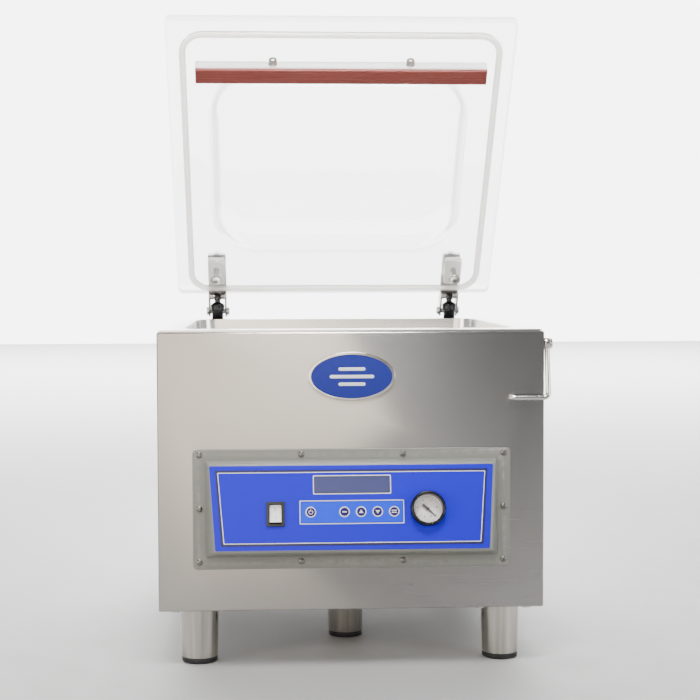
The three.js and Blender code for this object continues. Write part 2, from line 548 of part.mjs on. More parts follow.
// Holes through the face for the display, the switch, the gauge and the buttons.
function faceHoles() {
  const plate = (w, h, u, v) => onFace(new THREE.BoxGeometry(w, h, 30).translate(u, v, 0));
  const round = (r, u, v) =>
    onFace(new THREE.CylinderGeometry(r, r, 30, 14).rotateX(Math.PI / 2).translate(u, v, 0));
  return [plate(DISPLAY.w - 6, DISPLAY.h - 6, DISPLAY.u, DISPLAY.v),
    plate(ROCKER.w - 4, ROCKER.h - 4, ROCKER.u, ROCKER.v),
    round(GAUGE.dialR + 0.9, GAUGE.u, GAUGE.v),
    ...Object.values(BUTTONS).map((u) => round(BUTTON.r - 1.5, u, BUTTON.v))];
}

const bezelScrewSpots = [-192.7, -64.3, 64.3, 192.7].flatMap((x) => [[x, 199], [x, 63]])
  .concat([[-192.7, 130.8], [192.7, 130.8]]);

function controlBezel() {
  const flange = prism(roundedRect(-BEZEL.halfWidth, BEZEL.halfWidth, BEZEL.bottom, BEZEL.top, BEZEL.radius),
    'y', -GAP - BEZEL.thick, -GAP, 5);
  const hollow = wedgeBlock(-WEDGE.wall, 1);
  const screws = bezelScrewSpots.map(([x, z]) => rod([x, -10, z], [x, 5, z], 2.2, 2.2, 6));
  return cut(join(flange, wedgeBlock(0, -GAP - 1)), hollow, ...faceHoles(), ...screws);
}

// ---------------------------------------------------------------- pieces on the leaning face
// Drawn flat: x to the right, y up the slope, z out of the face.
const slab = (w, h, u, v, z0, z1, r) =>
  prism(roundedRect(u - w / 2, u + w / 2, v - h / 2, v + h / 2, r), 'z', z0, z1, 4);

function panelOverlay() {
  const [tx, bx] = [FACE_TOP.half - 2.4, FACE_BOTTOM.half - 2.4];
  const y = FACE_HEIGHT / 2;
  const sheet = prism([[-bx, -y + 3.4], [bx, -y + 3.4], [tx, y - 2.6], [-tx, y - 2.6]],
    'z', GAP, GAP + OVERLAY);
  return cut(sheet, slab(DISPLAY.w + 0.6, DISPLAY.h + 0.6, DISPLAY.u, DISPLAY.v, -1, 3, 1.5),
    slab(KEYPAD.w + 0.6, KEYPAD.h + 0.6, KEYPAD.u, KEYPAD.v, -1, 3, 1.8),
    slab(ROCKER.w - 3, ROCKER.h - 3, ROCKER.u, ROCKER.v, -1, 3, 1),
    rod([GAUGE.u, GAUGE.v, -5], [GAUGE.u, GAUGE.v, 5], GAUGE.dialR + 0.9, GAUGE.dialR + 0.9, 20));
}

function keypadStrip() {
  const strip = slab(KEYPAD.w, KEYPAD.h, KEYPAD.u, KEYPAD.v, GAP, GAP + 0.9, 1.5);
  return cut(strip, ...Object.values(BUTTONS).map((u) =>
    rod([u, BUTTON.v, -2], [u, BUTTON.v, 3], BUTTON.r + 0.3, BUTTON.r + 0.3, 14)));
}

// A button with a flat cap in the strip and a stem through the bezel face.
function button(u) {
  const top = GAP + 1.6;
  const [stem, shoulder] = [BUTTON.r - 2.2, 0.95];
  return turned([[0, -4.5], [stem, -4.5], [stem, shoulder], [BUTTON.r, shoulder], [BUTTON.r, top - 0.3],
    [BUTTON.r - 0.5, top], [0, top]], [u, BUTTON.v, 0], [0, 0, 1], 14);
}

function rockerFrame() {
  const rim = slab(ROCKER.w, ROCKER.h, ROCKER.u, ROCKER.v, GAP + OVERLAY + GAP, GAP + OVERLAY + 2.4, 1.2);
  const body = slab(ROCKER.w - 5, ROCKER.h - 5, ROCKER.u, ROCKER.v, -20, 2, 0.8);
  const well = slab(ROCKER.w - 7.4, ROCKER.h - 7.4, ROCKER.u, ROCKER.v, -11, 8, 0.6);
  return cut(join(rim, body), well);
}

// Drawn level, centred on its pivot line, with a hollow front and a rounded back.
function rockerButton() {
  const [w, h] = [ROCKER.w - 8.2, ROCKER.h / 2 - 4.6];
  const shape = new THREE.Shape();
  shape.moveTo(-h, 5.6);
  shape.quadraticCurveTo(0, 3.6, h, 5.6);
  shape.lineTo(h - 1, -0.5);
  shape.absarc(0, 0.5, 6.2, -0.35, Math.PI + 0.35, true);
  shape.lineTo(-h + 1, -0.5);
  return prism(shape, 'x', -w / 2, w / 2, 8);
}

function gaugeCase() {
  const { r, dialR, proud } = GAUGE;
  const rim = GAP + OVERLAY + GAP;
  const shell = turned([[0, -26], [7, -26], [7, -16], [dialR, -16], [dialR + 0.3, -14], [dialR + 0.3, rim],
    [r, rim], [r, proud - 3], [r - 1.6, proud], [0, proud]], [GAUGE.u, GAUGE.v, 0], [0, 0, 1], 24);
  const well = rod([GAUGE.u, GAUGE.v, -3], [GAUGE.u, GAUGE.v, 20], dialR - 0.6, dialR, 24);
  return cut(shell, well);
}

const gaugeLens = () => rod([GAUGE.u, GAUGE.v, GAUGE.proud - 3], [GAUGE.u, GAUGE.v, GAUGE.proud - 1.2],
  GAUGE.dialR - 1.1, GAUGE.dialR - 1.1, 24);

// Pointer drawn round its own spindle, tip towards +x.
function gaugeNeedle() {
  const blade = prism([[-8, -1.5], [-8, 1.5], [0, 1.1], [14.2, 0.25], [14.2, -0.25], [0, -1.1]], 'z', 0, 0.7);
  const spindle = turned([[0, -1], [1.1, -1], [1.1, 0], [2.2, 0], [2.2, 1.1], [0, 1.4]],
    [0, 0, 0], [0, 0, 1], 14);
  return join(blade, spindle);
}

function controlBoard() {
  const board = box([-72, 74], [-46, 44], [-17.2, -15.6]);
  const module = box([DISPLAY.u - 42, DISPLAY.u + 42], [DISPLAY.v - 16, DISPLAY.v + 16], [-16, -6.5]);
  const chips = [[-50, -24, 12, 9], [-20, -30, 8, 14], [18, -26, 14, 10], [50, -30, 9, 16]]
    .map(([u, v, w, deep]) => box([u - w, u + w], [v - 7, v + 7], [-17 - deep, -17]));
  return join(board, module, ...chips);
}

// ---------------------------------------------------------------- badge, hook, pump set
// Blank oval plate with a raised rim.
function badge() {
  const { z, a, b } = BADGE;
  const ellipse = (by) => new THREE.Shape(
    new THREE.EllipseCurve(0, z, a - by, b - by).getPoints(28).slice(0, 28));
  return cut(prism(ellipse(0), 'y', -GAP - 1.6, -GAP), prism(ellipse(4), 'y', -4, -GAP - 1.1));
}

function hookRod() {
  const { y, z, rodR, x, barX, barY, barZ } = HOOK;
  const bend = 5;
  const down = new THREE.Vector3(0, barY - y, barZ - z).normalize();
  const corner = new THREE.Vector3(x, barY, barZ);
  const start = new THREE.Vector3(x, y, z);
  const path = new THREE.CurvePath();
  const beforeBend = corner.clone().addScaledVector(down, -bend);
  const afterBend = corner.clone().add(new THREE.Vector3(-bend, 0, 0));
  path.add(new THREE.LineCurve3(start, beforeBend));
  path.add(new THREE.QuadraticBezierCurve3(beforeBend, corner, afterBend));
  path.add(new THREE.LineCurve3(afterBend, new THREE.Vector3(barX, barY, barZ)));
  const section = new THREE.Shape(new THREE.EllipseCurve(0, 0, rodR, rodR).getPoints(8).slice(0, 8));
  const wire = solid(new THREE.ExtrudeGeometry(section,
    { steps: 16, bevelEnabled: false, extrudePath: path }));
  const eye = rod([x - rodR, y, z], [x + rodR, y, z], 7.5);
  return cut(join(wire, eye), rod([x - 10, y, z], [x + 10, y, z], 3.4, 3.4, 10));
}

// Shoulder screw and washer that carry the hook on the right wall.
function hookPivot() {
  const wall = WIDTH / 2 + GAP;
  return turned([[0, 0], [8, 0], [8, 0.7], [3, 0.7], [3, 8.2], [7, 8.2], [7, 9.6], [5.4, 11.4], [0, 11.8]],
    [wall, HOOK.y, HOOK.z], [1, 0, 0], 12);
}

function vacuumPump() {
  const { x0, x1, y0, y1, z0, z1 } = PUMP;
  const rails = [y0 + 10, y1 - 40].map((y) => box([x0, x1 + 190], [y, y + 30], [z0, z0 + 8]));
  const feet = [x0 + 20, x1 + 165].flatMap((x) => [y0 + 25, y1 - 25].map((y) => turned(
    [[0, TRAY.top + GAP], [13, TRAY.top + GAP], [10.5, (TRAY.top + z0) / 2], [13, z0 + 1], [0, z0 + 1]],
    [x, y, 0], [0, 0, 1], 10)));
  const block = box([x0 + 12, x1 - 8], [y0, y1], [z0 + 6, z1 - 45]);
  const tank = prism(roundedRect(y0 + 14, y1 - 14, z1 - 60, z1, 16), 'x', x0 + 2, x1 - 20, 5);
  const fins = [];
  for (let i = 0; i < 5; i++) {
    fins.push(box([x0 + 24 + i * 28, x0 + 32 + i * 28], [y0 - 9, y0 + 5], [z0 + 18, z1 - 62]));
  }
  const inlet = turned([[0, z1 - 4], [22, z1 - 4], [22, z1 + 4], [14, z1 + 5], [14, z1 + 14], [0, z1 + 14]],
    [PUMP_INLET.x, PUMP_INLET.y, 0], [0, 0, 1], 14);
  const filler = rod([x0 + 30, y0 + 50, z1 - 3], [x0 + 30, y0 + 50, z1 + 9], 12, 10, 16);
  return join(block, tank, ...rails, ...feet, ...fins, inlet, filler);
}

function pumpMotor() {
  const { x0, length, r } = MOTOR;
  const axis = [x0, PUMP.axisY, PUMP.axisZ];
  const body = turned([[0, 0], [r - 6, 0], [r - 6, 10], [r - 2, 12], [r - 2, length - 22], [r, length - 20],
    [r, length + 30], [0, length + 30]], axis, [1, 0, 0], 24);
  const fins = [];
  for (let i = 0; i < 8; i++) {
    const fin = new THREE.BoxGeometry(length - 46, 3, 5).translate(length / 2 - 4, 0, r);
    fins.push(solid(fin.rotateX((i / 8) * 2 * Math.PI).translate(...axis)));
  }
  const feet = [-38, 26].map((y) => box([x0 + 30, x0 + 115], [PUMP.axisY + y, PUMP.axisY + y + 12],
    [PUMP.z0 + 8 + GAP, PUMP.axisZ - 45]));
  const terminals = box([x0 + 45, x0 + 110], [PUMP.axisY - 32, PUMP.axisY + 32],
    [PUMP.axisZ + r - 8, PUMP.axisZ + r + 22]);
  const bore = (from, to, radius, sides) =>
    rod([x0 + length + from, axis[1], axis[2]], [x0 + length + to, axis[1], axis[2]], radius, radius, sides);
  return cut(join(body, ...fins, ...feet, terminals), bore(-14, 40, r - 3, 24), bore(-60, 0, 8, 12));
}

// Cooling fan on the tail of the motor shaft: hub, shaft and seven blades.
function motorFan() {
  const x = MOTOR.x0 + MOTOR.length;
  const hub = rod([x - 8, PUMP.axisY, PUMP.axisZ], [x + 18, PUMP.axisY, PUMP.axisZ], 16, 14);
  const shaft = rod([x - 50, PUMP.axisY, PUMP.axisZ], [x, PUMP.axisY, PUMP.axisZ], 7, 7, 12);
  const blades = [];
  for (let i = 0; i < 7; i++) {
    const blade = new THREE.BoxGeometry(16, 3, 44).rotateZ(0.4).translate(0, 0, 36);
    blades.push(solid(blade.rotateX((i / 7) * 2 * Math.PI).translate(x + 6, PUMP.axisY, PUMP.axisZ)));
  }
  return join(hub, shaft, ...blades);
}

function valveBlock() {
  const { x, y, z0, z1, portR } = VALVE;
  const block = box([x - 60, x + 60], [y - 24, y + 24], [z0 + 18, z1]);
  const coils = [-40, 0, 40].map((dx) => rod([x + dx, y - 60, z0 + 34], [x + dx, y - 20, z0 + 34], 14));
  const nipple = rod([x, y, z1 - 2], [x, y, CHAMBER.floor - 0.5], portR);
  const spout = rod([x - 75, y, z0 + 36], [x - 58, y, z0 + 36], 12);
  return join(block, ...coils, nipple, spout);
}

function vacuumHose() {
  const spout = [VALVE.x - 77, VALVE.y, VALVE.z0 + 36];
  const inlet = [PUMP_INLET.x, PUMP_INLET.y, PUMP.z1 + 15];
  return hose([inlet, [inlet[0], inlet[1], inlet[2] + 6], [inlet[0] + 22, inlet[1] + 26, inlet[2] + 24],
    [-30, 385, inlet[2] + 20], [spout[0] - 12, spout[1], spout[2]], spout], 11, 18);
}

function transformer() {
  const base = TRAY.top + GAP;
  const { x, y } = TRANSFORMER;
  const core = box([x - 40, x + 40], [y - 30, y + 30], [base, base + 68]);
  const windings = box([x - 26, x + 26], [y - 42, y + 42], [base + 14, base + 54]);
  const feet = [-1, 1].map((s) =>
    box([x + s * 40 - 12, x + s * 40 + 12], [y - 14, y + 14], [base, base + 4]));
  return join(core, windings, ...feet);
}

// Appliance inlet on the back: flange outside, socket body inside, with three pins in the recess.
function powerInlet() {
  const { x, z, w, h } = INLET;
  const flange = prism(roundedRect(x - w / 2 - 7, x + w / 2 + 7, z - h / 2 - 4, z + h / 2 + 4, 4), 'y',
    DEPTH + GAP, DEPTH + 3.5, 4);
  const body = box([x - w / 2 + 0.5, x + w / 2 - 0.5], [DEPTH - 26, DEPTH + 1],
    [z - h / 2 + 0.5, z + h / 2 - 0.5]);
  const recess = prism(roundedRect(x - 13, x + 13, z - 9, z + 9, 3), 'y', DEPTH - 16, DEPTH + 6, 3);
  const pins = [-7, 0, 7].map((dx) => box([x + dx - 1, x + dx + 1], [DEPTH - 18, DEPTH - 2],
    [z - 2 + (dx ? 0 : 3), z + 2 + (dx ? 0 : 3)]));
  return join(cut(join(flange, body), recess), ...pins);
}

// ---------------------------------------------------------------- assembly
const cabinet = new THREE.Group();
cabinet.add(
  node('body_shell', bodyShell(), STAINLESS),
  node('back_panel', backPanel(), STAINLESS),
  node('base_tray', baseTray(), STAINLESS),
  node('chamber_tank', chamberTank(), STAINLESS),
  node('seal_bar', sealBar(), CAST),
  node('lift_unit', liftUnit(), CAST),
  node('control_bezel', controlBezel(), BEZEL_GREY),
  node('badge', badge(), BADGE_BLUE),
  node('hold_down_hook', hookRod(), POLISHED),
  node('hook_pivot', hookPivot(), POLISHED),
  node('vacuum_pump', vacuumPump(), PAINTED_GREY),
  node('pump_motor', pumpMotor(), CAST),
  node('motor_fan', motorFan(), BLACK_PLASTIC),
  node('valve_block', valveBlock(), BRASS),
  node('vacuum_hose', vacuumHose(), RUBBER),
  node('transformer', transformer(), COPPER),
  node('power_inlet', powerInlet(), BLACK_PLASTIC),
);
for (const [name, spot] of Object.entries(LEGS)) {
  cabinet.add(
    node(`leg_${name}`, leg(spot), STAINLESS),
    node(`leg_cap_${name}`, legCap(spot), BLACK_PLASTIC),
  );
}

const face = new THREE.Group();
face.position.set(0, midFace.y, midFace.z);
face.rotation.x = Math.PI / 2 - FACE_LEAN;
face.add(
  node('panel_overlay', panelOverlay(), OVERLAY_BLUE),
  node('keypad_strip', keypadStrip(), KEYPAD_BLUE),
  node('rocker_frame', rockerFrame(), BLACK_PLASTIC),
  node('gauge_case', gaugeCase(), BLACK_PLASTIC),
  node('gauge_lens', gaugeLens(), CLEAR),
  node('control_board', controlBoard(), BOARD_GREEN),
);
for (const [name, u] of Object.entries(BUTTONS)) face.add(node(`button_${name}`, button(u), NAVY));
const rocker = node('rocker_button', rockerButton(), WHITE_PLASTIC);
rocker.position.set(ROCKER.u, ROCKER.v, ROCKER.pivotZ);
rocker.rotation.x = -ROCKER.tilt;
const needle = node('gauge_needle', gaugeNeedle(), BLACK_PLASTIC);
needle.position.set(GAUGE.u, GAUGE.v, 0);
needle.rotation.z = GAUGE.rest;
face.add(rocker, needle);
cabinet.add(face);

const lidGroup = new THREE.Group();
lidGroup.position.set(0, PIVOT.y, PIVOT.z);
lidGroup.rotation.x = -LID_OPEN;
lidGroup.add(
  node('lid', lid(), CLEAR),
  node('lid_gasket', lidGasket(), SILICONE_CREAM),
  node('counter_bar_holder', counterHolder(), WHITE_PLASTIC),
  node('counter_bar_strip', counterStrip(), SILICONE_RED),
);
for (const [side, s] of mirrored) {
  lidGroup.add(
    node(`counter_bar_nut_${side}`, counterNut(s), POLISHED),
    node(`hinge_block_${side}`, hingeBlock(s), WHITE_PLASTIC),
    node(`hinge_stud_${side}`, hingeStud(s), POLISHED),
    node(`hinge_arm_${side}`, hingeArm(s), STAINLESS),
    node(`hinge_pivot_${side}`, pivotBolt(s), POLISHED),
  );
  cabinet.add(node(`hinge_bracket_${side}`, hingeBracket(s), STAINLESS));
  const spring = new THREE.Group();
  spring.position.set(s * HINGE_X, springTop.y, springTop.z);
  spring.rotation.x = springLean;
  spring.add(
    node(`gas_spring_${side}`, gasTube(), SPRING_BLACK),
    node(`gas_rod_${side}`, gasRod(), POLISHED),
  );
  cabinet.add(spring);
}
cabinet.add(lidGroup);

// The model stands on the floor with the middle of its footprint at the origin.
const sealer = new THREE.Group();
sealer.add(cabinet);
const bounds = new THREE.Box3().setFromObject(sealer, true);
const middle = bounds.getCenter(new THREE.Vector3());
cabinet.position.set(-middle.x, -middle.y, -bounds.min.z);

export default sealer;
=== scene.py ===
"""Looks of the countertop vacuum chamber sealer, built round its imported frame.

Each piece is drawn in millimetres, in the frame that suits it: the cabinet (x 0 on the centre line, y 0 on
the front panel, z 0 on the underside), the leaning control face (x right, y up the slope, z out), the lid
(drawn closed, from its pivot) or a gas spring (hanging from its top eye). piece() then stores it in metres in
the model's own frame.
"""
import math

import bmesh
import bpy
from mathutils import Matrix, Vector


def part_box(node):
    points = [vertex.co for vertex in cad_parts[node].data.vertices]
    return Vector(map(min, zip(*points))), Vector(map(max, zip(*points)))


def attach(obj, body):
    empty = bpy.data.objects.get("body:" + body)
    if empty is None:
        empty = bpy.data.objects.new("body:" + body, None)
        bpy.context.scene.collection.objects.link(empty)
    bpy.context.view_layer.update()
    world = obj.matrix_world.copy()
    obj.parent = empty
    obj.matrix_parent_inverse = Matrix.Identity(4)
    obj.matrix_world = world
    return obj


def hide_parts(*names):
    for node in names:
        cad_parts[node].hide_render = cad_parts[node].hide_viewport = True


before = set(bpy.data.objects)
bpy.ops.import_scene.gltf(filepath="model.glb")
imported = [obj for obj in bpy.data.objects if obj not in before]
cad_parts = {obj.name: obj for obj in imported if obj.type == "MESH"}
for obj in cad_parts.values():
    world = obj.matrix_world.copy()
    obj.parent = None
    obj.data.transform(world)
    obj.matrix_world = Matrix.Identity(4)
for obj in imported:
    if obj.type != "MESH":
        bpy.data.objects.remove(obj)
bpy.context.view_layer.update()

# ------------------------------------------------------------------ driving sizes, in millimetres
WIDTH, DEPTH = 490, 530
PANEL_TOP, PLATE_TOP = 353, 356
LEG_HEIGHT = 73.5
GAP = 0.3
SHEET = 1.5
HINGE_X = 183.5
PIVOT_Y, PIVOT_Z = 522, 367.5
LID_OPEN = math.radians(52.5)
FACE_TOP, FACE_BOTTOM = (-12.5, 188.2), (-42, 80.6)     # y, z of the control face's edges
FACE_TOP_HALF, FACE_BOTTOM_HALF = 181, 173
SPRING_TOP = (-31, -2)                                  # y, z from the pivot, lid closed
ANCHOR_Y, ANCHOR_Z = 503, 190
SIDES = (("left", -1), ("right", 1))

# ------------------------------------------------------------------ frames
shell_low, shell_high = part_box("body_shell")
CABINET = (Matrix.Translation(((shell_low.x + shell_high.x) / 2, shell_low.y, shell_low.z))
           @ Matrix.Scale(0.001, 4))
FACE_LEAN = math.atan2(FACE_TOP[0] - FACE_BOTTOM[0], FACE_TOP[1] - FACE_BOTTOM[1])
FACE_HEIGHT = math.hypot(FACE_TOP[0] - FACE_BOTTOM[0], FACE_TOP[1] - FACE_BOTTOM[1])
FACE = (CABINET @ Matrix.Translation((0, (FACE_TOP[0] + FACE_BOTTOM[0]) / 2,
                                      (FACE_TOP[1] + FACE_BOTTOM[1]) / 2))
        @ Matrix.Rotation(math.pi / 2 - FACE_LEAN, 4, "X"))
LID = (CABINET @ Matrix.Translation((0, PIVOT_Y, PIVOT_Z)) @ Matrix.Rotation(-LID_OPEN, 4, "X"))
spring_eye = Matrix.Rotation(-LID_OPEN, 3, "X") @ Vector((0, *SPRING_TOP)) + Vector((0, PIVOT_Y, PIVOT_Z))
SPRING_LEAN = math.atan2(ANCHOR_Y - spring_eye.y, spring_eye.z - ANCHOR_Z)
SPRING_SPAN = math.hypot(ANCHOR_Y - spring_eye.y, spring_eye.z - ANCHOR_Z)


def spring_frame(side):
    return (CABINET @ Matrix.Translation((side * HINGE_X, spring_eye.y, spring_eye.z))
            @ Matrix.Rotation(SPRING_LEAN, 4, "X"))


# ------------------------------------------------------------------ mesh tools
def mesh_from(points, faces):
    bm = bmesh.new()
    verts = [bm.verts.new(p) for p in points]
    for face in faces:
        bm.faces.new([verts[i] for i in face])
    bmesh.ops.recalc_face_normals(bm, faces=bm.faces)
    return bm


def arc(cx, cy, r, start, end, steps=10):
    """Points on a circle, from one angle to another in degrees."""
    angles = [math.radians(start + (end - start) * i / steps) for i in range(steps + 1)]
    return [(cx + r * math.cos(a), cy + r * math.sin(a)) for a in angles]


def circle(cx, cy, r, sides=48):
    return arc(cx, cy, r, 0, 360, sides)[:-1]


def rounded(x0, x1, y0, y1, r, steps=8):
    return (arc(x1 - r, y0 + r, r, -90, 0, steps) + arc(x1 - r, y1 - r, r, 0, 90, steps)
            + arc(x0 + r, y1 - r, r, 90, 180, steps) + arc(x0 + r, y0 + r, r, 180, 270, steps))


def centred(w, h, u, v, r, steps=8):
    return rounded(u - w / 2, u + w / 2, v - h / 2, v + h / 2, r, steps)


def prism(outline, along, start, end):
    """A flat outline swept along x (it holds y, z), y (x, z) or z (x, y)."""
    place = {"x": lambda a, b, t: (t, a, b), "y": lambda a, b, t: (a, t, b), "z": lambda a, b, t: (a, b, t)}
    n = len(outline)
    points = [place[along](a, b, t) for t in (start, end) for a, b in outline]
    sides = [(i, (i + 1) % n, n + (i + 1) % n, n + i) for i in range(n)]
    return mesh_from(points, [tuple(range(n)), tuple(range(n, 2 * n)), *sides])


def block(xs, ys, zs):
    return prism([(xs[0], ys[0]), (xs[1], ys[0]), (xs[1], ys[1]), (xs[0], ys[1])], "z", *zs)


def stand(bm, at, axis):
    """Turns a shape's z axis to the axis given and moves its origin to a point."""
    turn = Vector((0, 0, 1)).rotation_difference(Vector(axis)).to_matrix().to_4x4()
    bm.transform(Matrix.Translation(at) @ turn)
    return bm


def lathe(profile, at=(0, 0, 0), axis=(0, 0, 1), sides=56):
    """A turned piece. Its (radius, height) profile joins up, or else its ends are closed flat to the axis."""
    (r0, h0), (r1, h1) = profile[0], profile[-1]
    if (r0, h0) != (r1, h1):
        profile = [(0, h0)] * (r0 > 0) + profile + [(0, h1)] * (r1 > 0)
    points, rings = [], []
    for r, h in profile:
        count = 1 if r == 0 else sides
        rings.append(range(len(points), len(points) + count))
        for i in range(count):
            a = 2 * math.pi * i / sides
            points.append((r * math.cos(a), r * math.sin(a), h))
    faces = []
    for low, high in zip(rings, rings[1:]):
        for i in range(sides):
            j = (i + 1) % sides
            ring = [low[i % len(low)], low[j % len(low)], high[j % len(high)], high[i % len(high)]]
            face = [v for k, v in enumerate(ring) if v not in ring[:k]]
            if len(face) > 2:
                faces.append(face)
    return stand(mesh_from(points, faces), at, axis)


def bar(start, end, r, sides=40):
    along = Vector(end) - Vector(start)
    return lathe([(r, 0), (r, along.length)], start, along, sides)


def post(x, y, z0, z1, r, sides=40):
    return bar((x, y, z0), (x, y, z1), r, sides)


def axle(x, y, z, half, r):
    return bar((x - half, y, z), (x + half, y, z), r)


def span(centre, half):
    return centre - half, centre + half


def level(box, inset, z, r):
    return (box[0] + inset, box[1] - inset, box[2] + inset, box[3] - inset, z, max(r, 0.5))


def skin(rings, closed=False):
    """A surface through rings of points. Flat caps close its ends, unless the last ring joins the first."""
    n, count = len(rings[0]), len(rings)
    faces = [(k * n + i, k * n + (i + 1) % n, (k + 1) % count * n + (i + 1) % n, (k + 1) % count * n + i)
             for k in range(count if closed else count - 1) for i in range(n)]
    if not closed:
        faces += [tuple(range(n)), tuple(range((count - 1) * n, count * n))]
    return mesh_from([p for ring in rings for p in ring], faces)


def loft(levels, steps=12):
    """A closed skin through level rounded rectangles (x0, x1, y0, y1, z, radius)."""
    return skin([[(x, y, z) for x, y in rounded(x0, x1, y0, y1, r, steps)]
                 for x0, x1, y0, y1, z, r in levels])


def curved(stations, steps=5):
    """(inset, z, radius) stations joined by a smooth curve through them."""
    result = []
    for k in range(len(stations) - 1):
        p0, p1, p2, p3 = (stations[max(0, min(len(stations) - 1, k + i))] for i in (-1, 0, 1, 2))
        for i in range(steps):
            t = i / steps
            result.append([0.5 * (2 * b + (c - a) * t + (2 * a - 5 * b + 4 * c - d) * t * t
                                  + (3 * b - a - 3 * c + d) * t ** 3) for a, b, c, d in zip(p0, p1, p2, p3)])
    return result + [list(stations[-1])]


def sweep(path, r, sides=20):
    """A round wire along a list of points, closed with slightly domed ends."""
    path = [Vector(p) for p in path]
    last, rings, normal = len(path) - 1, [], None
    for i, p in enumerate(path):
        along = (path[min(i + 1, last)] - path[max(i - 1, 0)]).normalized()
        normal = along.orthogonal() if normal is None else normal - along * normal.dot(along)
        normal.normalize()
        across = along.cross(normal)
        stations = [(p, r)]
        if i == 0:
            stations.insert(0, (p - along * r * 0.25, r * 0.75))
        if i == last:
            stations.append((p + along * r * 0.25, r * 0.75))
        for centre, radius in stations:
            rings.append([centre + radius * (normal * math.cos(a) + across * math.sin(a))
                          for a in (2 * math.pi * k / sides for k in range(sides))])
    return skin(rings)


def ring_profile(path_at, profile):
    """A section swept round a closed outline: path_at(side) gives the outline moved outwards by side."""
    return skin([[(x, y, z) for x, y in path_at(side)] for side, z in profile], closed=True)


def soften(bm, width, segments=3, angle=32):
    """Rounds every edge that turns by more than the angle."""
    bmesh.ops.remove_doubles(bm, verts=bm.verts, dist=1e-4)
    edges = [e for e in bm.edges if len(e.link_faces) == 2 and e.calc_face_angle(0) > math.radians(angle)]
    bmesh.ops.bevel(bm, geom=edges, offset=width, offset_type="OFFSET", segments=segments, profile=0.5,
                    affect="EDGES", clamp_overlap=True)
    return bm


def stored(name, bm):
    mesh = bpy.data.meshes.new(name)
    bm.to_mesh(mesh)
    bm.free()
    return mesh


def placed(name, data):
    obj = bpy.data.objects.new(name, data)
    bpy.context.scene.collection.objects.link(obj)
    return obj


def evaluated(obj):
    """The shape of an object once its modifiers or its text are worked out."""
    bm = bmesh.new()
    bm.from_mesh(obj.evaluated_get(bpy.context.evaluated_depsgraph_get()).to_mesh())
    return bm


def merged(*parts):
    """Several closed bodies in one mesh."""
    whole = parts[0]
    for part in parts[1:]:
        mesh = stored("part", part)
        whole.from_mesh(mesh)
        bpy.data.meshes.remove(mesh)
    return whole


def combine(operation, whole, tools):
    base, *others = [placed("tool", stored("tool", bm)) for bm in (whole, *tools)]
    for other in others:
        modifier = base.modifiers.new("cut", "BOOLEAN")
        modifier.operation, modifier.solver, modifier.object = operation, "MANIFOLD", other
    bpy.context.view_layer.update()
    result = evaluated(base)
    for obj in (base, *others):
        mesh = obj.data
        bpy.data.objects.remove(obj)
        bpy.data.meshes.remove(mesh)
    return result


def cut(whole, *tools):
    return combine("DIFFERENCE", whole, tools)


def join(whole, *tools):
    return combine("UNION", whole, tools)


def piece(name, bm, look, body="cabinet", where=CABINET, replaces=None, sharp=35):
    """Stores a shape as an object that rides on a body and, if asked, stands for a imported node."""
    bm.transform(where)
    bmesh.ops.remove_doubles(bm, verts=bm.verts, dist=2e-6)
    bmesh.ops.recalc_face_normals(bm, faces=bm.faces)
    mesh = stored(name, bm)
    mesh.shade_smooth()
    mesh.set_sharp_from_angle(angle=math.radians(sharp))
    mesh.materials.append(LOOK[look])
    obj = placed(name, mesh)
    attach(obj, body)
    if replaces:
        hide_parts(replaces)


def refined(node, width):
    """A copy of a packed sheet part with its flat faces made whole and its edges rounded."""
    bm = bmesh.new()
    bm.from_mesh(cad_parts[node].data)
    bmesh.ops.remove_doubles(bm, verts=bm.verts, dist=2e-6)
    bmesh.ops.dissolve_limit(bm, angle_limit=math.radians(0.6), verts=bm.verts, edges=bm.edges)
    bm.transform(CABINET.inverted())
    piece(node + "_sheet", soften(bm, width, 2), "bracket", replaces=node)


# ------------------------------------------------------------------ materials
def fill(node, sockets):
    """Gives each input of a node a constant, or links it to another node's output."""
    for key, value in sockets.items():
        socket = node.inputs[key.replace("_", " ") if isinstance(key, str) else key]
        if isinstance(value, bpy.types.NodeSocket):
            node.id_data.links.new(value, socket)
        else:
            socket.default_value = value


def new_node(tree, kind, output, **sockets):
    node = tree.nodes.new("ShaderNode" + kind)
    fill(node, sockets)
    return node.outputs[output]


